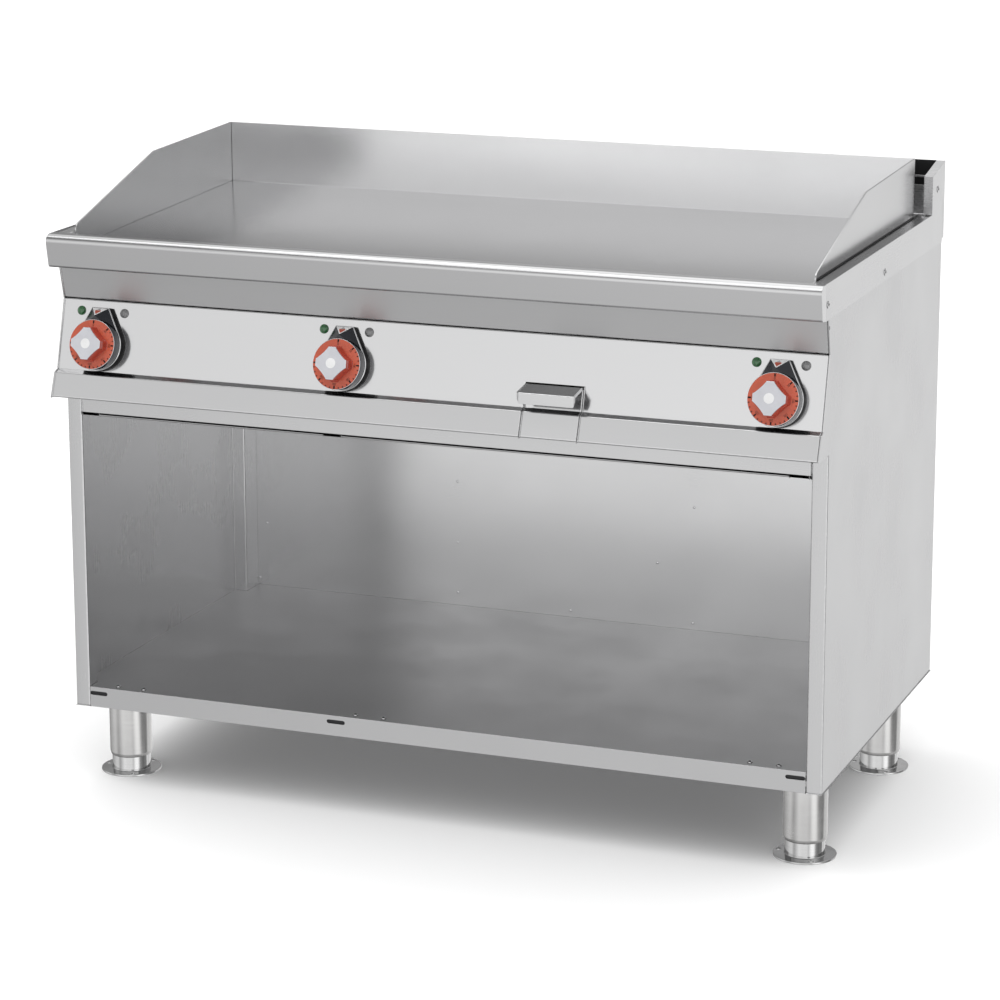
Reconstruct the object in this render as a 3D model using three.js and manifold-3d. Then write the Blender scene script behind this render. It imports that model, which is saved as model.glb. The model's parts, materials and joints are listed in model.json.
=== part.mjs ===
// Free-standing electric griddle for a professional kitchen: a sloping smooth plate with
// three heating zones, splash guards on three sides, a front panel with three thermostat
// knobs, a grease drawer, and an open cabinet on four levelling feet.
//
// Millimetres. X runs along the front, to the right. Y runs from the front to the back, and
// is 0 on the cabinet's front face while the pieces are made. Z is the height above the
// floor. At the end the whole model moves so that its origin is on the floor, under the
// middle of its outer box.

import * as THREE from 'three';
import { mergeVertices } from 'three/addons/utils/BufferGeometryUtils.js';
import Module from 'manifold-3d';

const wasm = await Module();
wasm.setup();

// ---------------------------------------------------------------- driving dimensions

const WIDTH = 1200;
const SHEET = 1.5;

// GAP parts two pieces that touch. CLEARANCE parts pieces that slide or lean past each other.
// LAP is how far two solids run into each other where they are joined into one piece, and
// THROUGH is how far a cutting tool runs out of the sheet that it cuts, on each side.
const GAP = 0.3;
const CLEARANCE = 0.6;
const LAP = 0.5;
const THROUGH = 8;

const CABINET = {
  back: 642,
  bottom: 125,
  floor: 157,
  bayTop: 590,
  shield: 612,
  jamb: 24,
  jambReturn: 25,
  backPanel: 622,
  postFront: 574,
  seam: 823,
};

const WORKTOP = {
  top: 876,
  ledge: 874.6,
  flatBack: -28,
  noseRadius: 12,
  noseFront: -53,
  noseFootY: -46,
  noseFootZ: 826,
  noseFootRadius: 4,
  undersideY: -14,
  undersideZ: 822,
};

const FASCIA = {
  creaseY: -2,
  creaseZ: 771,
  panelFootY: -30,
  panelFootZ: 667,
  stepY: -39,
  stepZ: 663,
  lipY: -53,
  lipZ: 627,
  seamGap: 1.2,
  creaseReturn: 7,
};

const WELL = {
  inside: 575,
  back: 545,
  wall: 2.5,
  bottom: 847,
};

const PLATE = {
  thickness: 12,
  front: -0.5,
  rearTop: 869.5,
  fall: 0.0323,
  drainX: 199.5,
  drainY: 32,
  drainRadius: 22,
};

const SPLASH = {
  top: 967,
  shoulderY: 262,
  shoulderZ: 959,
  frontY: -3,
  frontZ: 884,
  frontCorner: 10,
};

const RISER = {
  front: 574,
  back: 652,
  frontTop: 936,
  backTop: 950,
  backBottom: 829,
  flange: 14,
  wallY: 590,
  wallTop: 920,
  barTop: 935,
  barHeight: 3,
};

const KNOB = {
  places: { left: -531, centre: -131, right: 531 },
  height: 705,
  spindleRadius: 3,
  skirtRadius: 37.6,
  dialRadius: 36.8,
  dialFace: 28,
  lobeRadius: 24.5,
  capFace: 49,
};

const BEZEL = {
  radius: 39,
  depth: 10,
  pocketFloor: 3,
  crownTop: 57,
  crownHalfWidth: 14,
  peakUp: 43.5,
  peakOut: 27.5,
};

const LAMP = {
  sideways: 36,
  up: 51,
  radius: 7,
  rim: 1.6,
  back: -14,
};

const DRAWER = {
  centre: 199.5,
  width: 89,
  edgeGap: 0.8,
  top: 701,
  lipY: -59,
  lipTop: 694,
  lipBottom: 679,
  trayBottom: 631.5,
  trayTop: 690,
  trayBack: 440,
  guideBack: 520,
  guideHeight: 50,
};

const LEG = {
  x: 552,
  frontY: 87,
  backY: 512,
  tubeRadius: 33,
  tubeWall: 2.4,
  tubeBottom: 26,
  lidThickness: 5,
  sleeveRadius: 30,
  sleeveTop: 76,
  sleeveWall: 4,
  flangeRadius: 47,
  flangeThickness: 3,
  holeCircle: 40,
  holeRadius: 3.2,
};

// ---------------------------------------------------------------- worked-out dimensions

const HALF = WIDTH / 2;
const SKIN_INSIDE = HALF - SHEET;
const BETWEEN_SKINS = SKIN_INSIDE - GAP;
const JAMB_INSIDE = HALF - CABINET.jamb;
const BETWEEN_JAMBS = JAMB_INSIDE - LAP;
const PANEL_RUN = (FASCIA.creaseY - FASCIA.panelFootY) / (FASCIA.creaseZ - FASCIA.panelFootZ);
const PANEL_TILT = Math.atan(PANEL_RUN);
const PLATE_TILT = Math.atan(PLATE.fall);
const DRAWER_LEFT = DRAWER.centre - DRAWER.width / 2;
const DRAWER_RIGHT = DRAWER.centre + DRAWER.width / 2;

// Y of the control panel's face at a given height.
function panelFaceY(z) {
  return FASCIA.creaseY - (FASCIA.creaseZ - z) * PANEL_RUN;
}

// Height of the cooking surface at a given distance from the front.
function plateTop(y) {
  return PLATE.rearTop - (WELL.back - y) * PLATE.fall;
}

// ---------------------------------------------------------------- solids

const WELD_DISTANCE = 1e-3;

function solidOf(geometry) {
  const bare = geometry.clone();
  for (const name of Object.keys(bare.attributes)) {
    if (name !== 'position') bare.deleteAttribute(name);
  }
  const merged = mergeVertices(bare, WELD_DISTANCE);
  return new wasm.Manifold(new wasm.Mesh({
    numProp: 3,
    vertProperties: merged.attributes.position.array,
    triVerts: merged.index.array,
  }));
}

function geometryOf(solid) {
  const mesh = solid.getMesh();
  const geometry = new THREE.BufferGeometry();
  geometry.setAttribute('position', new THREE.BufferAttribute(mesh.vertProperties, 3));
  geometry.setIndex(new THREE.BufferAttribute(mesh.triVerts, 1));
  geometry.computeVertexNormals();
  return geometry;
}

function join(...geometries) {
  return geometryOf(geometries.map(solidOf).reduce((whole, next) => whole.add(next)));
}

function cut(geometry, ...tools) {
  return geometryOf(tools.map(solidOf).reduce((rest, tool) => rest.subtract(tool), solidOf(geometry)));
}

// The smallest convex solid round some points.
function hull(points) {
  return geometryOf(wasm.Manifold.hull(points));
}

// A box from two opposite corners.
function block([x0, y0, z0], [x1, y1, z1]) {
  const geometry = new THREE.BoxGeometry(x1 - x0, y1 - y0, z1 - z0);
  return geometry.translate((x0 + x1) / 2, (y0 + y1) / 2, (z0 + z1) / 2);
}

function shapeOf(points) {
  return new THREE.Shape(points.map(([a, b]) => new THREE.Vector2(a, b)));
}

function extruded(shape, depth, curveSegments = 8) {
  return new THREE.ExtrudeGeometry(shape, { depth, bevelEnabled: false, steps: 1, curveSegments });
}

const Y_Z_TO_X = new THREE.Matrix4().makeBasis(
  new THREE.Vector3(0, 1, 0), new THREE.Vector3(0, 0, 1), new THREE.Vector3(1, 0, 0));
const X_Z_TO_Y = new THREE.Matrix4().makeBasis(
  new THREE.Vector3(1, 0, 0), new THREE.Vector3(0, 0, 1), new THREE.Vector3(0, -1, 0));

// An outline of (y, z) points, drawn out along X.
function alongX(shape, x0, x1) {
  return extruded(shape, x1 - x0).applyMatrix4(Y_Z_TO_X).translate(x0, 0, 0);
}

// An outline of (x, z) points, drawn out along Y.
function alongY(shape, y0, y1) {
  return extruded(shape, y1 - y0).applyMatrix4(X_Z_TO_Y).translate(0, y1, 0);
}

// An outline of (x, y) points, drawn out along Z.
function alongZ(shape, z0, z1, curveSegments) {
  return extruded(shape, z1 - z0, curveSegments).translate(0, 0, z0);
}

// A turned solid about the local Z axis, from (radius, z) points.
function turned(points, segments = 24) {
  const profile = points.map(([radius, z]) => new THREE.Vector2(radius, z));
  return new THREE.LatheGeometry(profile, segments).rotateX(Math.PI / 2);
}

// A round bar about the local Z axis.
function bar(radius, z0, z1, segments = 16) {
  return turned([[0, z0], [radius, z0], [radius, z1], [0, z1]], segments);
}

// The cross-section of a bent sheet: the points follow one face, with the metal on their left.
function sheetSection(face, thickness = SHEET) {
  const points = face.map(([a, b]) => new THREE.Vector2(a, b));
  const leftOf = (from, to) => {
    const along = to.clone().sub(from).normalize();
    return new THREE.Vector2(-along.y, along.x);
  };
  const behind = points.map((point, i) => {
    const before = i > 0 ? leftOf(points[i - 1], point) : leftOf(point, points[i + 1]);
    const after = i < points.length - 1 ? leftOf(point, points[i + 1]) : before;
    const mitre = before.clone().add(after).divideScalar(1 + before.dot(after));
    return point.clone().addScaledVector(mitre, thickness);
  });
  return new THREE.Shape([...points, ...behind.reverse()]);
}

// Points on an arc, from one angle to another in degrees.
function arc([cx, cy], radius, from, to, steps) {
  return Array.from({ length: steps + 1 }, (_, i) => {
    const angle = THREE.MathUtils.degToRad(from + (to - from) * i / steps);
    return [cx + radius * Math.cos(angle), cy + radius * Math.sin(angle)];
  });
}

// ---------------------------------------------------------------- materials and scene graph

const model = new THREE.Group();

function steel(color = 0xc8c9ca, roughness = 0.3) {
  return new THREE.MeshStandardMaterial({ color, metalness: 1, roughness });
}

function plastic(color, roughness = 0.3) {
  return new THREE.MeshStandardMaterial({ color, metalness: 0, roughness });
}

function place(name, geometry, material, parent = model) {
  const mesh = new THREE.Mesh(geometry, material);
  mesh.name = name;
  parent.add(mesh);
  return mesh;
}

const SIDES = [['left', -1], ['right', 1]];

// The right-hand piece is made first, and the left-hand one is its mirror image.
function mirrored(geometry, side) {
  if (side > 0) return geometry;
  return geometryOf(solidOf(geometry).mirror([1, 0, 0]));
}

// ---------------------------------------------------------------- worktop

const NOSE_CENTRE = [WORKTOP.noseFront + WORKTOP.noseRadius, WORKTOP.top - WORKTOP.noseRadius];
const FOOT_CENTRE = [
  WORKTOP.noseFootY + 0.85 * WORKTOP.noseFootRadius, WORKTOP.noseFootZ + 0.85 * WORKTOP.noseFootRadius,
];
const NOSE_FACE = [
  [WORKTOP.flatBack, WORKTOP.top],
  ...arc(NOSE_CENTRE, WORKTOP.noseRadius, 90, 180, 6),
  ...arc(FOOT_CENTRE, WORKTOP.noseFootRadius, 190, 262, 2),
];
const APRON_BACKSET = 2;

function frontRail() {
  const apronFoot = [PLATE.front - SHEET, plateTop(PLATE.front) - CLEARANCE];
  const nose = alongX(
    sheetSection([...NOSE_FACE, [WORKTOP.undersideY, WORKTOP.undersideZ]]),
    -SKIN_INSIDE, SKIN_INSIDE);
  const apron = alongX(
    sheetSection([apronFoot, NOSE_FACE[0], [WORKTOP.flatBack - APRON_BACKSET, WORKTOP.top]]),
    -WELL.inside + GAP, WELL.inside - GAP);
  const capBack = WORKTOP.flatBack - GAP;
  const undersideRise = (WORKTOP.noseFootZ - WORKTOP.undersideZ) / (WORKTOP.undersideY - WORKTOP.noseFootY);
  const capFoot = WORKTOP.undersideZ + (WORKTOP.undersideY - capBack) * undersideRise;
  const capShape = shapeOf([[capBack, WORKTOP.top], ...NOSE_FACE.slice(1), [capBack, capFoot]]);
  const caps = SIDES.map(([, side]) => mirrored(alongX(capShape, SKIN_INSIDE - LAP, HALF), side));
  return join(nose, apron, ...caps);
}

place('worktop_front_rail', frontRail(), steel(0xd6d7d8, 0.18));

// A narrow ledge beside the splash guard, turned down into the skirt.
function sideRail(side) {
  const cornerBack = SPLASH.frontY - CLEARANCE;
  const ledgeInside = WELL.inside + WELL.wall + CLEARANCE;
  const cornerInside = WELL.inside + GAP;
  const ledge = alongZ(shapeOf([
    [cornerInside, WORKTOP.flatBack], [HALF, WORKTOP.flatBack],
    [HALF, RISER.front - GAP], [ledgeInside, RISER.front - GAP],
    [ledgeInside, cornerBack], [cornerInside, cornerBack],
  ]), WORKTOP.ledge - SHEET, WORKTOP.ledge);
  const skirt = block(
    [SKIN_INSIDE, WORKTOP.flatBack, CABINET.seam + GAP],
    [HALF, RISER.front - GAP, WORKTOP.top]);
  const cornerWall = block(
    [cornerInside, WORKTOP.flatBack, WELL.bottom],
    [cornerInside + SHEET, cornerBack, WORKTOP.ledge]);
  return mirrored(join(ledge, skirt, cornerWall), side);
}

for (const [name, side] of SIDES) {
  place(`worktop_side_rail_${name}`, sideRail(side), steel());
}

// ---------------------------------------------------------------- cooking plate and drain

// The plate's own frame: its origin is the middle of the rear top edge, and it falls to the front.
const plateFrame = new THREE.Group();
plateFrame.position.set(0, WELL.back, PLATE.rearTop);
plateFrame.rotation.x = PLATE_TILT;
model.add(plateFrame);

const PLATE_LENGTH = WELL.back - PLATE.front - CLEARANCE;
const PLATE_REAR_GAP = 0.9;

function cookingPlate() {
  const half = WELL.inside - CLEARANCE;
  const slab = block([-half, -PLATE_LENGTH, -PLATE.thickness], [half, -PLATE_REAR_GAP, 0]);
  const drain = bar(PLATE.drainRadius, -PLATE.thickness - THROUGH, THROUGH, 24)
    .translate(PLATE.drainX, PLATE.drainY - WELL.back, 0);
  return cut(slab, drain);
}

place('cooking_plate', cookingPlate(), steel(0xb9babb, 0.12), plateFrame);

const CHUTE = {
  inside: PLATE.drainRadius + 1.5,
  outside: PLATE.drainRadius + 3,
  top: plateTop(PLATE.drainY) - PLATE.thickness - 2,
  bottom: DRAWER.trayTop + 9,
};

const chute = place('drain_chute', turned([
  [CHUTE.outside, CHUTE.bottom], [CHUTE.outside, CHUTE.top],
  [CHUTE.inside, CHUTE.top], [CHUTE.inside, CHUTE.bottom], [CHUTE.outside, CHUTE.bottom],
]), steel());
chute.position.set(PLATE.drainX, PLATE.drainY, 0);

// One serpentine tube for each of the three zones, pressed up under the plate.
const ELEMENT = {
  radius: 4, below: 1, runs: 4, pitch: 90, bulge: 0.66, front: -450, back: -75, steps: 30, sides: 6,
};

function heatingElement() {
  const path = new THREE.CurvePath();
  const level = -PLATE.thickness - ELEMENT.radius - ELEMENT.below;
  const runX = (run) => (run - (ELEMENT.runs - 1) / 2) * ELEMENT.pitch;
  for (let run = 0; run < ELEMENT.runs; run += 1) {
    const ends = [ELEMENT.front, ELEMENT.back];
    if (run % 2 === 1) ends.reverse();
    path.add(new THREE.LineCurve3(
      new THREE.Vector3(runX(run), ends[0], level), new THREE.Vector3(runX(run), ends[1], level)));
    if (run === ELEMENT.runs - 1) break;
    const bulge = ends[1] + (run % 2 === 0 ? 1 : -1) * ELEMENT.pitch * ELEMENT.bulge;
    path.add(new THREE.CubicBezierCurve3(
      new THREE.Vector3(runX(run), ends[1], level), new THREE.Vector3(runX(run), bulge, level),
      new THREE.Vector3(runX(run + 1), bulge, level), new THREE.Vector3(runX(run + 1), ends[1], level)));
  }
  const section = shapeOf(arc([0, 0], ELEMENT.radius, 0, 300, ELEMENT.sides - 1));
  return new THREE.ExtrudeGeometry(section, {
    steps: ELEMENT.steps, bevelEnabled: false, extrudePath: path,
  });
}

const ZONE_WIDTH = 2 * WELL.inside / 3;
[['left', -1], ['centre', 0], ['right', 1]].forEach(([name, zone]) => {
  const element = place(`heating_element_${name}`, heatingElement(), steel(0x4a4a4c, 0.5), plateFrame);
  element.position.x = zone * ZONE_WIDTH;
});

const INSULATION = { halfWidth: 560, front: -480, back: -12, top: -26, bottom: -56 };
place('insulation_board', block(
  [-INSULATION.halfWidth, INSULATION.front, INSULATION.bottom],
  [INSULATION.halfWidth, INSULATION.back, INSULATION.top]), plastic(0xd9d3c4, 0.9), plateFrame);

// ---------------------------------------------------------------- splash guards

function sideSplash(side) {
  const shape = new THREE.Shape();
  const corner = SPLASH.frontCorner;
  const rise = (SPLASH.shoulderZ - SPLASH.frontZ) / (SPLASH.shoulderY - SPLASH.frontY);
  shape.moveTo(SPLASH.frontY, WELL.bottom);
  shape.lineTo(SPLASH.frontY, SPLASH.frontZ - corner);
  shape.quadraticCurveTo(
    SPLASH.frontY, SPLASH.frontZ, SPLASH.frontY + corner, SPLASH.frontZ + corner * rise);
  shape.lineTo(SPLASH.shoulderY, SPLASH.shoulderZ);
  shape.lineTo(WELL.back + WELL.wall, SPLASH.top);
  shape.lineTo(WELL.back + WELL.wall, WELL.bottom);
  return mirrored(alongX(shape, WELL.inside, WELL.inside + WELL.wall), side);
}

for (const [name, side] of SIDES) {
  place(`splash_${name}`, sideSplash(side), steel());
}

place('splash_rear', block(
  [-WELL.inside + GAP, WELL.back, WELL.bottom],
  [WELL.inside - GAP, WELL.back + WELL.wall, SPLASH.top]), steel());

// ---------------------------------------------------------------- rear riser

// Rear wall, two cheeks with flanges round their front and sloping top, and a cross bar.
function riserShell() {
  const slope = (RISER.backTop - RISER.frontTop) / (RISER.back - RISER.front);
  const rearWall = block(
    [-HALF, RISER.back - SHEET, RISER.backBottom], [HALF, RISER.back, RISER.backTop]);
  const cheekShape = shapeOf([
    [RISER.front, CABINET.seam + GAP], [CABINET.back, CABINET.seam + GAP],
    [CABINET.back, RISER.backBottom], [RISER.back, RISER.backBottom],
    [RISER.back, RISER.backTop], [RISER.front, RISER.frontTop],
  ]);
  const flangeShape = sheetSection([
    [RISER.back - SHEET, RISER.backTop - slope * SHEET], [RISER.front, RISER.frontTop],
    [RISER.front, WORKTOP.top],
  ]);
  const cheeks = SIDES.flatMap(([, side]) => [
    mirrored(alongX(cheekShape, SKIN_INSIDE, HALF), side),
    mirrored(alongX(flangeShape, HALF - RISER.flange, HALF - LAP), side),
  ]);
  const barHalf = SKIN_INSIDE + LAP;
  const crossBar = block(
    [-barHalf, RISER.wallY, RISER.barTop - RISER.barHeight],
    [barHalf, RISER.wallY + SHEET, RISER.barTop]);
  return join(rearWall, ...cheeks, crossBar);
}

place('riser_shell', riserShell(), steel());

// The rear ledge of the worktop, turned up into the front wall of the riser.
function riserFrontWall() {
  const besideRails = WELL.inside + WELL.wall + GAP;
  const wallBack = RISER.wallY + SHEET;
  const right = [
    [besideRails, WELL.back + WELL.wall + GAP], [besideRails, RISER.front],
    [BETWEEN_SKINS, RISER.front], [BETWEEN_SKINS, wallBack],
  ];
  const ledge = alongZ(
    shapeOf([...right, ...right.map(([x, y]) => [-x, y]).reverse()]),
    WORKTOP.ledge - SHEET, WORKTOP.ledge);
  const half = HALF - RISER.flange - GAP;
  const wall = block([-half, RISER.wallY, WORKTOP.ledge - SHEET], [half, wallBack, RISER.wallTop]);
  return join(ledge, wall);
}

place('riser_front_wall', riserFrontWall(), steel());

// ---------------------------------------------------------------- front

place('upper_fascia', alongX(sheetSection([
  [WORKTOP.undersideY, WORKTOP.undersideZ - CLEARANCE],
  [FASCIA.creaseY, FASCIA.creaseZ + FASCIA.seamGap],
  [FASCIA.creaseY + FASCIA.creaseReturn, FASCIA.creaseZ + FASCIA.seamGap],
]), -BETWEEN_SKINS, BETWEEN_SKINS), steel(0xb4b5b6));

// The panel's own frame at each knob: Z points out of the panel and Y runs up its face.
function panelFrameAt(x) {
  const frame = new THREE.Group();
  frame.position.set(x, panelFaceY(KNOB.height), KNOB.height);
  frame.rotation.x = Math.PI / 2 - PANEL_TILT;
  frame.updateMatrix();
  return frame;
}

const PANEL_FACE = [
  [FASCIA.creaseY, FASCIA.creaseZ],
  [FASCIA.panelFootY, FASCIA.panelFootZ],
  [FASCIA.stepY, FASCIA.stepZ],
  [FASCIA.lipY, FASCIA.lipZ],
];
const SPINDLE_HOLE = 5.5;
const LAMP_HOLE = 6.2;
const PANEL_RETURN_BACK = -6;
const DRAWER_RETURN_BACK = PANEL_RETURN_BACK - 26;

function controlPanel() {
  const bent = alongX(sheetSection([
    [FASCIA.creaseY + FASCIA.creaseReturn, FASCIA.creaseZ], ...PANEL_FACE, [PANEL_RETURN_BACK, FASCIA.lipZ],
  ]), -BETWEEN_SKINS, BETWEEN_SKINS);
  const drawerHole = block(
    [DRAWER_LEFT, FASCIA.lipY - THROUGH, FASCIA.lipZ + THROUGH / 2],
    [DRAWER_RIGHT, PANEL_RETURN_BACK, DRAWER.top + CLEARANCE + DRAWER.edgeGap]);
  const returnNotch = block(
    [DRAWER_LEFT, FASCIA.lipY - THROUGH, FASCIA.lipZ - THROUGH],
    [DRAWER_RIGHT, DRAWER_RETURN_BACK + 12, FASCIA.lipZ + THROUGH]);
  const holes = Object.values(KNOB.places).flatMap((x) => {
    const { matrix } = panelFrameAt(x);
    const hole = (radius, sideways, up) => (
      bar(radius, -THROUGH, THROUGH, 12).translate(sideways, up, 0).applyMatrix4(matrix));
    const lampHoles = SIDES.map(([, side]) => hole(LAMP_HOLE, side * LAMP.sideways, LAMP.up));
    return [hole(SPINDLE_HOLE, 0, 0), ...lampHoles];
  });
  return cut(bent, drawerHole, returnNotch, ...holes);
}

place('control_panel', controlPanel(), steel(0xd2d3d4, 0.2));

// ---------------------------------------------------------------- knobs, thermostats, lamps

// Four flat-tipped lobes with slightly hollow flanks between them.
function lobedShape(radius) {
  const tip = 0.19 * radius;
  const corner = 0.25 * radius;
  const shoulder = 0.95 * radius;
  const waist = 0.55 * radius;
  const shape = new THREE.Shape();
  const centre = new THREE.Vector2();
  for (let quarter = 0; quarter < 4; quarter += 1) {
    const turn = (a, b) => new THREE.Vector2(a, b).rotateAround(centre, -quarter * Math.PI / 2);
    const start = turn(-tip, radius);
    if (quarter === 0) shape.moveTo(start.x, start.y);
    else shape.lineTo(start.x, start.y);
    const end = turn(tip, radius);
    shape.lineTo(end.x, end.y);
    const [c1, p1] = [turn(corner, radius), turn(corner, shoulder)];
    shape.quadraticCurveTo(c1.x, c1.y, p1.x, p1.y);
    const [c2, p2] = [turn(waist, waist), turn(shoulder, corner)];
    shape.quadraticCurveTo(c2.x, c2.y, p2.x, p2.y);
    if (quarter === 3) break;
    const [c3, p3] = [turn(radius, corner), turn(radius, tip)];
    shape.quadraticCurveTo(c3.x, c3.y, p3.x, p3.y);
  }
  const last = [new THREE.Vector2(-corner, radius), new THREE.Vector2(-tip, radius)];
  shape.quadraticCurveTo(last[0].x, last[0].y, last[1].x, last[1].y);
  return shape;
}

// A round collar whose rim runs up, along two tangents, into a flat-topped crown. The crown's
// face rises from its top corners to a peak beside the dial.
function bezel() {
  const reach = Math.hypot(BEZEL.crownHalfWidth, BEZEL.crownTop);
  const leaning = Math.atan2(BEZEL.crownTop, BEZEL.crownHalfWidth);
  const touch = leaning - Math.acos(BEZEL.radius / reach);
  const shape = new THREE.Shape();
  shape.moveTo(-BEZEL.crownHalfWidth, BEZEL.crownTop);
  shape.absarc(0, 0, BEZEL.radius, Math.PI - touch, touch, false);
  shape.lineTo(BEZEL.crownHalfWidth, BEZEL.crownTop);
  const [shoulderX, shoulderY] = [BEZEL.radius * Math.cos(touch), BEZEL.radius * Math.sin(touch)];
  const crownFoot = BEZEL.depth - LAP;
  const crown = hull([
    ...SIDES.flatMap(([, side]) => [
      [side * BEZEL.crownHalfWidth, BEZEL.crownTop, crownFoot],
      [side * shoulderX, shoulderY, crownFoot],
    ]),
    [0, BEZEL.peakUp, BEZEL.peakOut],
    [0, shoulderY, BEZEL.peakOut],
  ]);
  return cut(
    join(alongZ(shape, GAP, BEZEL.depth, 20), crown),
    bar(KNOB.skirtRadius + CLEARANCE, BEZEL.pocketFloor, BEZEL.peakOut + THROUGH, 32),
    bar(SPINDLE_HOLE, -THROUGH, THROUGH, 12));
}

const SKIRT_WALL = 2;
const DIAL_THICKNESS = 0.9;
const SPINDLE_FIT = KNOB.spindleRadius + 0.4;

function skirt() {
  const top = KNOB.dialFace - DIAL_THICKNESS - GAP;
  const bottom = BEZEL.depth + LAP;
  const outside = KNOB.skirtRadius;
  const inside = outside - SKIRT_WALL;
  return turned([
    [SPINDLE_FIT, top - SKIRT_WALL], [inside, top - SKIRT_WALL], [inside, bottom],
    [outside, bottom], [outside, top], [SPINDLE_FIT, top], [SPINDLE_FIT, top - SKIRT_WALL],
  ], 28);
}

const CAP_THICKNESS = 1.6;
const SPINDLE_END = 40;

function dial() {
  const disc = bar(KNOB.dialRadius, KNOB.dialFace - DIAL_THICKNESS, KNOB.dialFace, 28);
  const boss = alongZ(
    lobedShape(KNOB.lobeRadius), KNOB.dialFace - LAP, KNOB.capFace - CAP_THICKNESS - GAP, 4);
  const socket = bar(SPINDLE_FIT, KNOB.dialFace - THROUGH, SPINDLE_END + 1, 12);
  return cut(join(disc, boss), socket);
}

const THERMOSTAT = { half: 23, neckRadius: 9, front: -8, back: -40, shaftEnd: -24 };

function thermostat() {
  const body = block(
    [-THERMOSTAT.half, -THERMOSTAT.half, THERMOSTAT.back],
    [THERMOSTAT.half, THERMOSTAT.half, THERMOSTAT.front]);
  const neck = bar(THERMOSTAT.neckRadius, THERMOSTAT.front - LAP, -SHEET - GAP);
  const shaftHole = bar(SPINDLE_FIT, THERMOSTAT.shaftEnd - 1, 0, 12);
  return cut(join(body, neck), shaftHole);
}

// A domed lens with a flange that rests on the panel and a stem that passes through it.
function lamp() {
  const stem = LAMP_HOLE - CLEARANCE;
  return turned([
    [0, LAMP.back], [stem, LAMP.back], [stem, GAP], [LAMP.radius, GAP], [LAMP.radius, LAMP.rim],
    [LAMP.radius * 0.72, LAMP.rim + 2], [0, LAMP.rim + 3],
  ], 12);
}

for (const [name, x] of Object.entries(KNOB.places)) {
  const frame = panelFrameAt(x);
  model.add(frame);
  place(`knob_bezel_${name}`, bezel(), steel(0xd0d2d4, 0.08), frame);
  place(`knob_skirt_${name}`, skirt(), steel(0xb8babc, 0.1), frame);
  place(`knob_dial_${name}`, dial(), plastic(0xd4532a, 0.25), frame);
  place(`knob_cap_${name}`, alongZ(lobedShape(KNOB.lobeRadius - 0.5),
    KNOB.capFace - CAP_THICKNESS, KNOB.capFace, 4), steel(0xe4e4e6, 0.35), frame);
  place(`knob_spindle_${name}`, bar(KNOB.spindleRadius, THERMOSTAT.shaftEnd, SPINDLE_END, 12),
    steel(), frame);
  place(`thermostat_${name}`, thermostat(), plastic(0x2c2c2e, 0.5), frame);
  place(`lamp_green_${name}`, lamp(), plastic(0x3d8a4c), frame).position.set(-LAMP.sideways, LAMP.up, 0);
  place(`lamp_clear_${name}`, lamp(), plastic(0xa8a8aa), frame).position.set(LAMP.sideways, LAMP.up, 0);
}

// ---------------------------------------------------------------- grease drawer

const FRONT_LEFT = DRAWER_LEFT + DRAWER.edgeGap;
const FRONT_RIGHT = DRAWER_RIGHT - DRAWER.edgeGap;

// One folded sheet: the finger lip, the handle's top face, and a strip of the front's own profile.
place('drawer_front', alongX(sheetSection([
  [DRAWER.lipY, DRAWER.lipBottom],
  [DRAWER.lipY, DRAWER.lipTop],
  [panelFaceY(DRAWER.top), DRAWER.top - SHEET],
  ...PANEL_FACE.slice(1),
  [DRAWER_RETURN_BACK, FASCIA.lipZ],
]), FRONT_LEFT, FRONT_RIGHT), steel(0xd2d3d4, 0.2));

function drawerTray() {
  const left = FRONT_LEFT + CLEARANCE;
  const right = FRONT_RIGHT - CLEARANCE;
  const front = panelFaceY(DRAWER.trayTop) + SHEET + CLEARANCE;
  return cut(
    block([left, front, DRAWER.trayBottom], [right, DRAWER.trayBack, DRAWER.trayTop]),
    block([left + SHEET, front + SHEET, DRAWER.trayBottom + SHEET],
      [right - SHEET, DRAWER.trayBack - SHEET, DRAWER.trayTop + THROUGH]));
}

place('drawer_tray', drawerTray(), steel());

// A channel standing on the heat shield, whose raised floor carries the tray.
function drawerGuide() {
  const inside = DRAWER.width / 2 + CLEARANCE;
  const front = SHEET + GAP;
  const foot = CABINET.shield + SHEET + GAP;
  const floorTop = DRAWER.trayBottom - GAP;
  const wall = block([inside, front, foot], [inside + SHEET, DRAWER.guideBack, foot + DRAWER.guideHeight]);
  const walls = SIDES.map(([, side]) => mirrored(wall, side));
  const floor = block(
    [-inside - LAP, front, floorTop - SHEET], [inside + LAP, DRAWER.guideBack, floorTop]);
  return join(...walls, floor).translate(DRAWER.centre, 0, 0);
}

place('drawer_guide', drawerGuide(), steel(0xb4b5b6));

// ---------------------------------------------------------------- cabinet

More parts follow.
